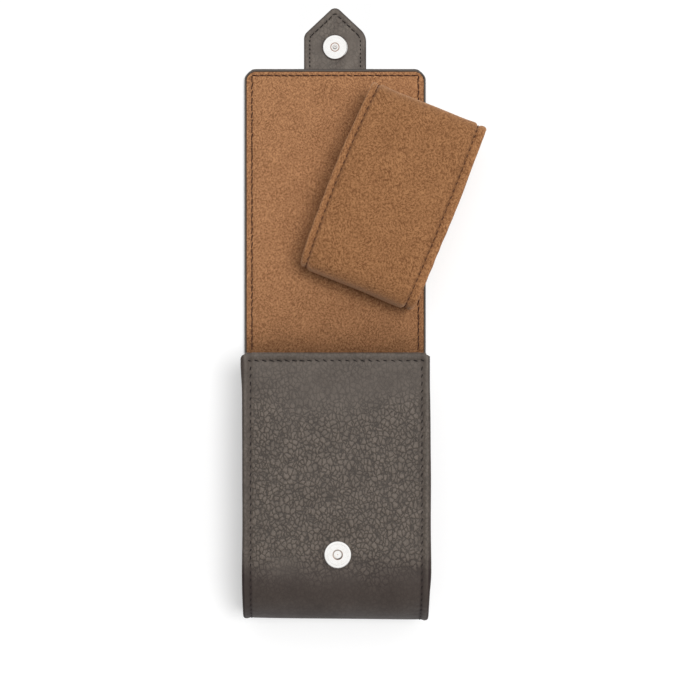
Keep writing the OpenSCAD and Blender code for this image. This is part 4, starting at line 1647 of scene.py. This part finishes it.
@dataclass
class SnapTab:
    """The pointed tab: two leathers, sewn together round the snap."""

    plan: CasePlan
    point: float = 13.2 * MM
    length: float = 28.8 * MM
    nose: float = 3 * MM
    shoulders: tuple[float, float] = (4.2 * MM, 7.5 * MM)
    long_pitch: float = 2.75 * MM
    root: float = 0.5 * MM
    soft_root: float = 0.55 * MM
    furrow: float = 0.22 * MM

    def __post_init__(self) -> None:
        """Reads the tab's place from its nodes."""
        low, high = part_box("tab_inner_leather")
        self.half = high.x
        self.top = high.z
        self.joined = low.z
        self.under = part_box("tab_outer_leather")[0].z
        self.start = self.plan.flap_end - self.root
        self.slope = math.atan2(self.half, self.point)
        self.snap, self.snap_radius, _ = seat("tab_snap_plate", self.plan.plate_shift)

    def build(self) -> None:
        """Builds and dresses both leathers and their stitches."""
        under = ("tab_outer_leather", "tab_bend_leather", "tab_root")
        self.ply("tab_front_ply", self.top, -1, self.top - self.joined, ("tab_inner_leather",))
        self.ply("tab_back_ply", self.under, 1, self.joined - self.under, under)
        self.stitches()

    def bend(self, piece: Piece) -> None:
        """Bakes a piece's transform into its mesh; where the bend at the tab's soft root starts and ends is
        read but not used, so the piece is not bent.
        """
        start, end = self.plan.bend("tab_lift", self.soft_root, self.soft_root)
        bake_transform(piece)

    def outline(self, inset: float, shoulder: float) -> Array:
        """One half of the tab's outline, from its root to its tip.

        Args:
            inset: How far it is set in.
            shoulder: The radius of its shoulder.

        Returns:
            Places across (from the middle) and along, one row each.
        """
        wide, nose = shoulder - inset * 0.8, self.nose - inset * 0.8
        half = self.half - inset
        sine, cosine = math.sin(self.slope), math.cos(self.slope)
        tip = self.plan.flap_end + self.length - inset / sine
        low = tip - (wide + (half - wide) * cosine) / sine
        high = tip - nose / sine
        turn, end = np.linspace(0.0, self.slope, 16), np.linspace(self.slope, math.pi / 2 - 0.06, 16)
        share = np.linspace(0.0, 1.0, 26)[1:-1, None]
        start = np.array([half - wide + wide * cosine, low + wide * sine])
        side = spread(self.start, low, 0.6 * MM)[:-1]
        return np.concatenate([
            np.stack([np.full(len(side), half), side], -1),
            np.stack([half - wide + wide * np.cos(turn), low + wide * np.sin(turn)], -1),
            start * (1 - share) + np.array([nose * cosine, high + nose * sine]) * share,
            np.stack([nose * np.cos(end), high + nose * np.sin(end)], -1),
        ])

    def border(self, inset: float) -> Array:
        """The whole outline, from the root up the right side, over the tip and down the left."""
        left, right = (self.outline(inset, shoulder) for shoulder in self.shoulders)
        return np.concatenate([right, left[::-1] * (-1.0, 1.0)])

    def rows(self, inset: float) -> Rows:
        """The rows between both halves of the outline."""
        left, right = (self.outline(inset, shoulder) for shoulder in self.shoulders)
        return Rows(right[:, 1], -np.interp(right[:, 1], left[:, 1], left[:, 0]), right[:, 0])

    def distance(self, patch: Patch, inset: float) -> Array:
        """How far each point is from the outline set in by some width."""
        points = np.stack([patch.across, patch.along], -1)[:, None, :]
        return np.linalg.norm(points - self.border(inset), axis=-1).min(axis=1)

    def ply(self, name: str, face: float, up: int, thick: float, nodes: tuple[str, ...]) -> None:
        """One of the tab's two leathers.

        Args:
            name: The piece's name.
            face: The height of its show face.
            up: Whether its material is above (1) or below (-1) that face.
            thick: Its thickness.
            nodes: The nodes that it stands for.
        """
        soft = 0.45 * MM
        rim = quarter_round(soft) + [(soft, thick * 0.8), (soft, thick)]
        patch = panel(self.rows(soft), 64, rim, True)
        on_face = patch.zone == Zone.FACE
        distance = self.distance(patch, self.plan.tab_seam_inset)
        radius = np.hypot(patch.across - self.snap.x, patch.along - self.snap.y)
        beyond = np.clip(radius - self.snap_radius, 0.0, None)
        dent = 0.2 * MM * bell(beyond, 1.4 * MM)
        wave = 0.05 * MM * patch.wave(12 * MM, 51)
        patch.depth += (self.furrow * bell(distance, 0.7 * MM) + dent * (up < 0) + wave) * on_face
        grain = np.clip(0.3 + 0.15 * patch.wave(14 * MM, 52), 0.1, 0.6)
        shade = 0.55 * (1 - smooth(self.distance(patch, 0.0), 0.3 * MM, 0.95 * MM))
        # Painted shade along the stitch furrow, and a painted contact shadow round the snap's plate on the
        # front ply.
        shade = shade + 0.2 * bell(distance, 0.5 * MM) + 0.6 * bell(beyond, 0.5 * MM) * (up < 0)
        shade = shade + 0.09 * patch.wave(7 * MM, 53) - 0.12
        piece = panel_piece(name, patch, lying(face, up), grain, shade)
        attach(piece, LEATHER, nodes)
        self.bend(piece)

    def stitches(self) -> None:
        """The row round the tab."""
        line = self.border(self.plan.tab_seam_inset)
        steps = np.linalg.norm(np.diff(line, axis=0), axis=1)
        reach = np.concatenate([[0.0], np.cumsum(steps)])
        total, first = reach[-1], self.root + 1.4 * MM
        half = len(line) // 2
        shoulder = float(np.interp(self.half * 0.72, line[:half, 0][::-1], reach[:half][::-1]))
        sides = spread(first, shoulder - 1.4 * MM, 1.9 * MM)
        count = round((total / 2 - shoulder) / self.long_pitch)
        point = total / 2 + self.long_pitch * np.arange(-count, count + 1)
        short = Needle(1.15 * MM, 0.5 * MM, 0.08 * MM, slant=4.0, waver=3.0)
        long = Needle(2.5 * MM, 0.5 * MM, 0.1 * MM, slant=5.0, waver=3.0)
        rows = (
            ("tab_stitches", np.concatenate([sides, total - sides]), short),
            ("tab_point_stitches", point, long),
        )
        for name, places, needle in rows:
            piece = needle.sew(name, self.seams(places, reach, line))
            attach(piece, THREAD, ("tab_stitching",) if name == "tab_stitches" else ())
            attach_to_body(piece, "tab")

    def seams(self, places: Array, reach: Array, line: Array) -> list[Seam]:
        """Stitches on both of the tab's faces.

        Args:
            places: How far along the row each stitch is.
            reach: How far along the row each point of its line is.
            line: The row's line.

        Returns:
            The rows on the upper and the lower face.
        """
        before, (x, y), after = (
            [np.interp(places + shift, reach, line[:, k]) for k in (0, 1)]
            for shift in (-0.3 * MM, 0.0, 0.3 * MM)
        )
        heading = np.stack([after[0] - before[0], after[1] - before[1], 0 * x], -1)
        heading /= np.linalg.norm(heading, axis=1)[:, None]
        seams = []
        for height, up in ((self.top, 1.0), (self.under, -1.0)):
            centres = np.stack([x, y, np.full(len(x), height - up * self.furrow * 0.7)], -1)
            out = np.tile([0.0, 0.0, up], (len(x), 1))
            seams.append(Seam(centres, heading, out))
        return seams


# --- Snap halves ---


def rounded(points: Profile, radii: list[float], steps: int = 5) -> Profile:
    """Rounds the corners of a lathe profile.

    Args:
        points: The profile's corners, as radius and height.
        radii: The rounding at each corner, where 0 keeps it sharp.
        steps: How many points each rounding has.

    Returns:
        The rounded profile.
    """
    made: Profile = []
    for k, (point, radius) in enumerate(zip(points, radii)):
        if radius == 0.0:
            made.append(point)
            continue
        here = Vector(point)
        before = (Vector(points[k - 1]) - here).normalized()
        after = (Vector(points[(k + 1) % len(points)]) - here).normalized()
        for t in np.linspace(0.0, 1.0, steps):
            bend = here + before * radius * (1 - t) ** 2 + after * radius * t**2
            made.append((bend.x, bend.y))
    return made


def lathe(
    name: str, profile: Profile, centre: Vector, closed: bool, sides: int = 96, ring: float = 0.0
) -> Piece:
    """Turns a profile about a vertical axis.

    Args:
        name: The piece's name.
        profile: Radius and height pairs.
        centre: Where the axis and height 0 are.
        closed: Whether the profile is a loop, as round a hole.
        sides: How many steps the turn has.
        ring: The radius of a groove that is tinted brown.

    Returns:
        The piece.
    """
    turns = 2 * math.pi * np.arange(sides) / sides
    radius = np.array([p[0] for p in profile])[:, None]
    height = np.array([p[1] for p in profile])[:, None] + 0 * turns
    x, y = centre.x + radius * np.cos(turns), centre.y + radius * np.sin(turns)
    points = np.stack([x, y, centre.z + height], -1)
    ids = numbered(len(profile), sides)
    faces = quads(np.vstack([ids, ids[:1]]), around=True) if closed else tube(ids)
    piece = new_piece(name, points.reshape(-1, 3), faces)
    mark(piece, "edge", bell(np.repeat(radius[:, 0], sides) - ring, 0.16 * MM))
    return piece


@dataclass
class SnapHalves:
    """The bright cup on the front panel and the plate with its post on the tab."""

    plan: CasePlan
    groove: float = 0.07 * MM
    rivet_radius: float = 1.72 * MM
    post_radius: float = 1 * MM

    def build(self) -> None:
        """Builds and dresses both halves."""
        self.cup()
        self.rivet()
        self.plate()
        self.post()

    def cup(self) -> None:
        """The pressed cup with its centre hole."""
        centre, outer, tall = seat("front_snap_cup", self.plan.cup_shift)
        hole, ring = self.rivet_radius + 0.04 * MM, outer - 1.35 * MM
        corners = [
            (hole, 0.1 * MM), (hole, tall * 0.32), (hole + 0.34 * MM, tall), (hole + 0.7 * MM, tall),
            (ring - 0.16 * MM, tall), (ring, tall - self.groove * 0.4), (ring + 0.16 * MM, tall),
            (outer, tall), (outer, 0.0), (hole + 0.6 * MM, 0.0),
        ]
        soft = [value * MM for value in (0, 0.03, 0.14, 0.05, 0.06, 0.04, 0.06, 0.4, 0.1, 0)]
        piece = lathe("snap_cup", rounded(corners, soft), centre, True, ring=hole + 0.3 * MM)
        attach(piece, PLATE, ("front_snap_cup",))
        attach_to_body(piece, "pouch")

    def rivet(self) -> None:
        """The rivet head at the bottom of the cup's hole."""
        centre, _, tall = seat("front_snap_rivet", self.plan.cup_shift)
        radius = self.rivet_radius
        profile = [(radius, 0.0), (radius, tall * 0.86), (radius * 0.975, tall * 0.955)]
        shares = (0.94, 0.7, 0.45, 0.2, 0.05)
        profile += [(radius * share, tall * (1.0 - 0.04 * share**2)) for share in shares]
        piece = lathe("snap_rivet", profile, centre, False, 64)
        attach(piece, PLATE, ("front_snap_rivet",))
        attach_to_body(piece, "pouch")

    def plate(self) -> None:
        """The tab's round plate with a stepped rim."""
        centre, outer, tall = seat("tab_snap_plate", self.plan.plate_shift)
        hole, ring, collar = self.post_radius + 0.02 * MM, outer - 1.15 * MM, 1.88 * MM
        corners = [
            (hole, 0.1 * MM), (hole, tall), (collar - 0.16 * MM, tall), (collar, tall - self.groove * 3),
            (collar + 0.16 * MM, tall), (collar + 0.5 * MM, tall), (ring - 0.14 * MM, tall),
            (ring, tall - self.groove * 0.5), (ring + 0.14 * MM, tall), (outer, tall), (outer, 0.0),
            (hole + 1 * MM, 0.0),
        ]
        soft = [value * MM for value in (0, 0.05, 0.06, 0.04, 0.06, 0.05, 0.05, 0.03, 0.05, 0.36, 0.08, 0)]
        piece = lathe("snap_plate", rounded(corners, soft), centre, True, ring=collar)
        attach(piece, PLATE, ("tab_snap_plate",))
        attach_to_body(piece, "tab")

    def post(self) -> None:
        """The small post in the middle of the tab's plate."""
        centre, _, tall = seat("tab_snap_post", self.plan.plate_shift)
        radius = self.post_radius
        corners = [
            (radius, 0.0), (radius, tall), (radius * 0.42, tall),
            (radius * 0.3, tall - 0.14 * MM), (0.03 * MM, tall - 0.18 * MM),
        ]
        soft = [0.0, 0.4 * MM, 0.1 * MM, 0.08 * MM, 0.0]
        piece = lathe("snap_post", rounded(corners, soft), centre, False, 64)
        attach(piece, PLATE, ("tab_snap_post",))
        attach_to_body(piece, "tab")


# --- Pillow ---


@dataclass
class WatchPillow:
    """The loose suede pillow: a soft cover between two lips, with recessed end panels."""

    plan: CasePlan
    turn: float = 22.0
    length: float = 88.2 * MM
    width: float = 54.1 * MM
    lip: float = 3.4 * MM
    square: float = 4.4
    crown: float = 0.35 * MM
    furrow: float = 0.5 * MM
    furrow_width: float = 0.62 * MM
    ring_points: int = 168
    stations: int = 44
    slack: float = 0.35 * MM
    most_swell: float = 0.3 * MM
    pressure: float = 4.0
    frames: int = 20
    panel_dome: float = 1.4 * MM
    bow: tuple[float, float] = (1.5 * MM, 0.7 * MM)
    shift: tuple[float, float] = (-0.65 * MM, 0.8 * MM)
    uneven: float = 0.5 * MM
    # How much the section's upper shoulders are lightened, as a painted highlight.
    shoulder_highlight: float = 0.2

    def __post_init__(self) -> None:
        """Reads the pillow's place from its cover."""
        low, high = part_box("pillow_cover")
        self.floor = low.z
        flat = 0.8 * MM
        self.half_height = (high.z - low.z + flat) / 2
        self.centre = Vector(((low.x + high.x) / 2, (low.y + high.y) / 2, high.z - self.half_height))
        self.seam = self.width / 2 - self.lip

    def build(self) -> None:
        """Builds and dresses the cover, the end panels and the stitches."""
        self.section, self.section_out = self.ring()
        cover = self.cover()
        attach(cover, PILLOW_SUEDE, ("pillow_cover",))
        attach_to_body(cover, "pillow")
        for side in Side:
            piece = self.end_panel(side)
            attach(piece, PILLOW_SUEDE, (f"pillow_{side.word}_end",))
            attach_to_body(piece, "pillow")
        piece = self.stitches()
        attach(piece, PILLOW_THREAD, ("pillow_stitching",))
        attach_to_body(piece, "pillow")

    def ring(self) -> tuple[Array, Array]:
        """Lays out the pillow's squarish section.

        Returns:
            Evenly spaced points round it, and their outward directions.
        """
        turns = np.linspace(0.0, 2 * math.pi, 4001)[:-1]
        power = 2.0 / self.square
        y = self.length / 2 * np.sign(np.cos(turns)) * np.abs(np.cos(turns)) ** power
        z = self.half_height * np.sign(np.sin(turns)) * np.abs(np.sin(turns)) ** power
        loop = np.stack([y, z], -1)
        loop = np.vstack([loop, loop[:1]])
        reach = np.concatenate([[0.0], np.cumsum(np.linalg.norm(np.diff(loop, axis=0), axis=1))])
        places = reach[-1] * np.arange(self.ring_points) / self.ring_points
        even = np.stack([np.interp(places, reach, loop[:, k]) for k in (0, 1)], -1)
        ahead = np.roll(even, -1, axis=0) - np.roll(even, 1, axis=0)
        out = np.stack([ahead[:, 1], -ahead[:, 0]], -1)
        self.ring_length = float(reach[-1])
        return even, out / np.linalg.norm(out, axis=1)[:, None]

    def station(self, drop: Array | float) -> Array:
        """The section set in by some depth at each of its points."""
        drop = np.broadcast_to(drop, (self.ring_points,))
        return self.section - self.section_out * drop[:, None]

    def place(self, local: Array) -> Array:
        """Turns points of the pillow's own frame into the case's, with its underside kept flat.

        Args:
            local: The points in the pillow's own frame.

        Returns:
            The points in the case's frame.
        """
        angle = math.radians(-self.turn)
        share = np.clip(local[..., 0] / self.seam, -1.0, 1.0)
        wide = np.where(share < 0, self.bow[0], self.bow[1]) * share
        beyond = np.clip((np.abs(local[..., 0]) - self.seam) / self.lip, 0.0, 1.0)
        bowed = wide * (1.0 - (2 * local[..., 1] / self.length) ** 2)
        across = local[..., 0] + bowed - self.uneven * (1.0 - beyond)
        x = across * math.cos(angle) - local[..., 1] * math.sin(angle) + self.centre.x + self.shift[0]
        y = across * math.sin(angle) + local[..., 1] * math.cos(angle) + self.centre.y + self.shift[1]
        z = np.maximum(local[..., 2] + self.centre.z, self.floor)
        return np.stack([x, y, z], -1)

    def swollen(self, x: Array) -> Array:
        """The cover between the two seams, pressed out by its filling.

        Args:
            x: The stations' places from seam to seam.

        Returns:
            The points, station by station, in the pillow's own frame.
        """
        rest = np.stack([
            np.column_stack([np.full(self.ring_points, place), self.station(self.slack + self.crown)])
            for place in x
        ])
        ids = numbered(*rest.shape[:2])
        piece = new_piece("pillow_sim", rest.reshape(-1, 3), quads(ids, around=True))
        pins = piece.vertex_groups.new(name="pins")
        pins.add(ids[0].tolist() + ids[-1].tolist(), 1.0, "REPLACE")
        cloth = piece.modifiers.new("cloth", "CLOTH")
        settings = cloth.settings
        settings.quality, settings.mass = 6, 0.3
        settings.tension_stiffness = settings.compression_stiffness = 12.0
        settings.bending_stiffness = 0.8
        settings.use_pressure, settings.uniform_pressure_force = True, self.pressure
        settings.effector_weights.gravity = 0.0
        settings.vertex_group_mass = "pins"
        for number in range(1, self.frames + 1):
            bpy.context.scene.frame_set(number)
        baked(piece)
        moved = np.array([v.co for v in piece.data.vertices]).reshape(rest.shape)
        bpy.data.objects.remove(piece)
        bpy.context.scene.frame_set(1)
        shift = moved - rest
        size = np.linalg.norm(shift, axis=-1, keepdims=True)
        return rest + shift * np.minimum(1.0, (self.most_swell + self.crown) / np.maximum(size, 1e-9))

    def cover(self) -> Piece:
        """Builds the cover with its sewn furrows and the lips outside them.

        Returns:
            The piece.
        """
        inner = self.seam * np.sin(np.linspace(-math.pi / 2, math.pi / 2, self.stations))
        body = self.swollen(inner)
        around = np.arange(self.ring_points) * self.ring_length / self.ring_points
        out = np.column_stack([np.zeros(self.ring_points), self.section_out])
        gap = self.seam - np.abs(inner)
        deep = self.furrow * bell(gap, self.furrow_width)
        pull = np.cos(math.pi * around / self.plan.stitch_pitch) + ripple(around, 0 * around, 17 * MM, 61)
        tucks = 0.16 * MM * bell(gap[:, None] - 2.2 * MM, 2.2 * MM) * pull[None, :]
        sag = 0.22 * MM * ripple(inner[:, None], around[None, :], 30 * MM, 62)
        sag = sag * smooth(gap, 0.0, 8 * MM)[:, None]
        plump = (self.slack + self.crown) * (1.0 - bell(gap, 0.9 * MM))
        plump = plump - self.crown * (1.0 - (gap / self.seam - 1.0) ** 2)
        body = body + (tucks + sag + (plump - deep)[:, None])[:, :, None] * out[None, :, :]
        rounds = [
            (0.35, 0.75), (0.7, 0.4), (1.1, 0.18), (1.6, 0.05), (2.1, 0.05), (2.6, 0.2), (3.0, 0.5),
            (3.3, 0.95), (3.4, 1.5), (3.25, 2.1), (2.9, 2.8), (2.4, 3.4), (1.8, 3.9), (1.0, 4.2), (0.3, 4.3),
        ]
        wave = 0.18 * MM * ripple(around, 0 * around, 38 * MM, 63)
        wave = wave + 0.06 * MM * ripple(around, 0 * around, 7 * MM, 64)
        lips: dict[Side, list[Array]] = {}
        for side in Side:
            lips[side] = []
            for outwards, drop in rounds:
                depth = self.crown + drop * MM
                x = side.value * (self.seam + outwards * MM + wave * min(1.0, outwards / 2.0))
                lips[side].append(np.column_stack([x, self.station(depth - wave * 0.6)]))
        rings = np.stack([*lips[Side.LEFT][::-1], *body, *lips[Side.RIGHT]])
        faces = quads(numbered(*rings.shape[:2]), around=True)
        piece = new_piece("pillow_cover_suede", self.place(rings).reshape(-1, 3), faces)
        self.mark_place(piece, rings, around)
        # Painted highlight on the lips' crests.
        crests = np.array([-(0.08 + 0.12 * (outwards >= 2.6)) * (drop < 2.0) for outwards, drop in rounds])
        # Painted shade in the seam furrows.
        furrow = 0.26 * bell(gap, 0.5 * MM)
        painted_light_and_tone = np.concatenate([crests[::-1], furrow, crests])
        # Painted highlight along the upper shoulders of the section.
        shoulder = smooth(np.abs(self.section[:, 0]), self.length / 2 - 3.2 * MM, self.length / 2 - 0.6 * MM)
        shoulder_highlight = self.shoulder_highlight * shoulder * (self.section[:, 1] > -self.half_height * 0.5)
        mark(piece, "shade", (painted_light_and_tone[:, None] - shoulder_highlight[None, :]).ravel())
        piece.modifiers.new("round", "SUBSURF").levels = 1
        return baked(piece)

    def mark_place(self, piece: Piece, rings: Array, around: Array) -> None:
        """Marks where each point lies on the suede laid flat.

        Args:
            piece: The cover.
            rings: Its points, ring by ring.
            around: How far round each ring its points are.
        """
        run = np.linalg.norm(np.diff(rings, axis=0), axis=-1).mean(axis=1)
        along = np.concatenate([[0.0], np.cumsum(run)])
        flat = np.stack(np.broadcast_arrays(along[:, None], around[None, :], 0.0), -1)
        mark(piece, "place", flat.reshape(-1, 3))

    def end_panel(self, side: Side) -> Piece:
        """Builds a recessed end panel, domed a little by the filling.

        Args:
            side: The end that it closes.

        Returns:
            The piece.
        """
        shares = np.sqrt(np.linspace(1.0, 0.0, 14)[:-1])
        edge = self.station(self.crown + 4 * MM)
        rings = []
        for share in shares:
            clear = self.uneven * (2.4 if side is Side.RIGHT else 0.6) * min(1.0, (1 - share) * 16)
            x = side.value * (self.seam + 0.3 * MM + self.panel_dome * (1 - share**2) + clear)
            rings.append(np.column_stack([np.full(self.ring_points, x), edge * share]))
        rings = np.stack(rings)
        wave = 0.25 * MM * ripple(rings[..., 1], rings[..., 2], 22 * MM, 71)
        rings[..., 0] += side.value * wave
        ids = numbered(*rings.shape[:2])
        faces = quads(ids, around=True) + [tuple(ids[-1].tolist())]
        piece = new_piece(f"pillow_{side.word}_panel", self.place(rings).reshape(-1, 3), faces)
        mark(piece, "place", np.stack([rings[..., 1], rings[..., 2], 0 * rings[..., 0]], -1).reshape(-1, 3))
        return piece

    def stitches(self) -> Piece:
        """Sews the rows in both furrows, all round but for the underside.

        Returns:
            The piece.
        """
        depth = self.slack + self.crown + self.furrow * 0.75
        loop = self.station(depth)
        around = np.arange(self.ring_points + 1) * self.ring_length / self.ring_points
        wrap = np.vstack([loop, loop[:1]])
        out_wrap = np.vstack([self.section_out, self.section_out[:1]])
        count = int(self.ring_length // self.plan.stitch_pitch)
        places = self.ring_length * np.arange(count) / count
        y, z = (np.interp(places, around, wrap[:, k]) for k in (0, 1))
        out_y, out_z = (np.interp(places, around, out_wrap[:, k]) for k in (0, 1))
        shown = z > -self.half_height * 0.75
        seams = []
        for side in Side:
            x = np.full(int(shown.sum()), side.value * self.seam)
            centres = self.place(np.stack([x, y[shown], z[shown]], -1))
            out = self.turned(np.stack([0 * x, out_y[shown], out_z[shown]], -1))
            along = self.turned(np.stack([0 * x, -out_z[shown], out_y[shown]], -1))
            seams.append(Seam(centres, along, out))
        return Needle(length=2.1 * MM, thread=0.4 * MM, slant=-6.0).sew("pillow_stitches", seams)

    def turned(self, vectors: Array) -> Array:
        """Directions of the pillow's own frame in the case's."""
        matrix = np.array(Matrix.Rotation(math.radians(-self.turn), 3, "Z"))
        return vectors @ matrix.T


# --- Inner layers ---


@dataclass
class InnerLayers:
    """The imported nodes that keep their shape: boards, foam, magnet, prongs and washers."""

    boards: tuple[str, ...] = (
        "shell_board", "left_gusset_board", "right_gusset_board", "flap_top_board", "flap_front_board"
    )
    fittings: tuple[str, ...] = (
        "front_snap_prongs", "front_snap_washer", "tab_snap_prongs", "tab_snap_washer"
    )

    def build(self) -> None:
        """Dresses each node."""
        finishes = {"pillow_core": FOAM, "front_snap_magnet": MAGNET}
        finishes |= dict.fromkeys(self.boards, BOARD) | dict.fromkeys(self.fittings, PLATE)
        for node, finish in finishes.items():
            slots = frame["nodes"][node].data.materials
            slots.clear()
            slots.append(finish.material())
            LOG.info("%s: dressed", node)


# --- Studio ---


@dataclass
class Studio:
    """The pale floor, the soft light and the camera straight above."""

    camera_place: tuple[float, float, float] = (-9.5 * MM, 52.2 * MM, 900 * MM)
    view_shift: tuple[float, float] = (0.0512, 0.0253)
    lens: float = 101.8
    sensor: float = 36.0
    floor_drop: float = 0.25 * MM
    floor_half: float = 2.2
    floor_grey: float = 0.72
    floor_glow: float = 0.335
    dome_top: float = 1.0
    dome_low: float = 0.2
    dome_from: tuple[float, float, float] = (0.12, 0.3, 0.95)
    dome_reach: tuple[float, float] = (0.5, 0.93)
    key: float = 0.5
    key_angle: float = 20.0
    key_from: tuple[float, float, float] = (0.2, 0.05, 1.0)
    tab_room: float = 3 * MM

    def build(self) -> None:
        """Sets the scene round the object."""
        self.make_camera()
        self.make_floor()
        self.make_light()
        bpy.context.scene.view_settings.view_transform = "Standard"

    def make_camera(self) -> None:
        """The camera, looking straight down."""
        data = bpy.data.cameras.new("camera")
        data.lens, data.sensor_width = self.lens, self.sensor
        data.shift_x, data.shift_y = self.view_shift
        data.clip_start, data.clip_end = 0.01, 10.0
        camera = bpy.data.objects.new("camera", data)
        camera.location = self.camera_place
        bpy.context.scene.collection.objects.link(camera)
        bpy.context.scene.camera = camera

    def make_floor(self) -> None:
        """A pale floor, open under the tab so that the tab can bend down."""
        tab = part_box("tab_outer_leather")
        half, reach = tab[1].x + self.tab_room, self.floor_half
        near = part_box("flap_front_leather")[1].y - 1 * MM
        far = tab[1].y + self.tab_room
        xs, ys = (-reach, -half, half, reach), (-reach, near, far, reach)
        points = [(x, y, -self.floor_drop) for y in ys for x in xs]
        faces = [
            (4 * j + i, 4 * j + i + 1, 4 * j + i + 5, 4 * j + i + 4)
            for j in range(3)
            for i in range(3)
            if (i, j) != (1, 1)
        ]
        floor = new_piece("floor", np.array(points), faces)
        material, sheet, shader = new_material("pale_floor")
        sheet.feed(shader, {
            "Base Color": rgba((self.floor_grey,) * 3),
            "Roughness": 0.9,
            "Specular IOR Level": 0.0,
            "Emission Color": WHITE,
            "Emission Strength": sheet.times(self.seen_ray(sheet), self.floor_glow),
        })
        floor.data.materials.append(material)

    def seen_ray(self, sheet: NodeSheet) -> Socket:
        """Tells rays from the camera, a mirror or through glass from others.

        Args:
            sheet: Where the nodes go.

        Returns:
            1 for such a ray and 0 for another.
        """
        ray = sheet.add("ShaderNodeLightPath").outputs
        first = sheet.math("MAXIMUM", ray["Is Camera Ray"], ray["Is Glossy Ray"])
        return sheet.math("MAXIMUM", first, ray["Is Transmission Ray"])

    def make_light(self) -> None:
        """A bright overhead dome that darkens towards the viewer's end, and one soft key."""
        world = bpy.data.worlds.new("overhead_dome")
        world.use_nodes = True
        bpy.context.scene.world = world
        sheet = NodeSheet(world.node_tree)
        towards = sheet.add("ShaderNodeTexCoord").outputs["Generated"]
        axis = tuple(Vector(self.dome_from).normalized())
        facing = sheet.add("ShaderNodeVectorMath", {0: towards, 1: axis}, operation="DOT_PRODUCT")
        dome = sheet.step(facing.outputs["Value"], *self.dome_reach, self.dome_low, self.dome_top)
        ray = sheet.add("ShaderNodeLightPath").outputs
        seen = sheet.math("MAXIMUM", ray["Is Camera Ray"], ray["Is Transmission Ray"])
        strength = sheet.add("ShaderNodeMix", {0: seen, 2: dome, 3: 1.0}).outputs[0]
        sheet.feed(world.node_tree.nodes["Background"], {"Color": WHITE, "Strength": strength})
        sun = bpy.data.lights.new("key", "SUN")
        direction = Vector(self.key_from).normalized()
        sun.energy = self.key * math.pi / direction.z
        sun.angle = math.radians(self.key_angle)
        lamp = bpy.data.objects.new("key", sun)
        lamp.rotation_euler = direction.to_track_quat("Z", "Y").to_euler()
        lamp.visible_glossy = False
        bpy.context.scene.collection.objects.link(lamp)


# --- Assembly ---


def main() -> None:
    """Builds the studio and every sub-assembly."""
    logging.basicConfig(level=logging.INFO, format="%(name)s: %(message)s")
    plan = CasePlan()
    Studio().build()
    for part in (Pouch(plan), Flap(plan), SnapTab(plan), SnapHalves(plan), WatchPillow(plan), InnerLayers()):
        LOG.info("building %s", type(part).__name__)
        part.build()


if __name__ == "__main__":
    main()
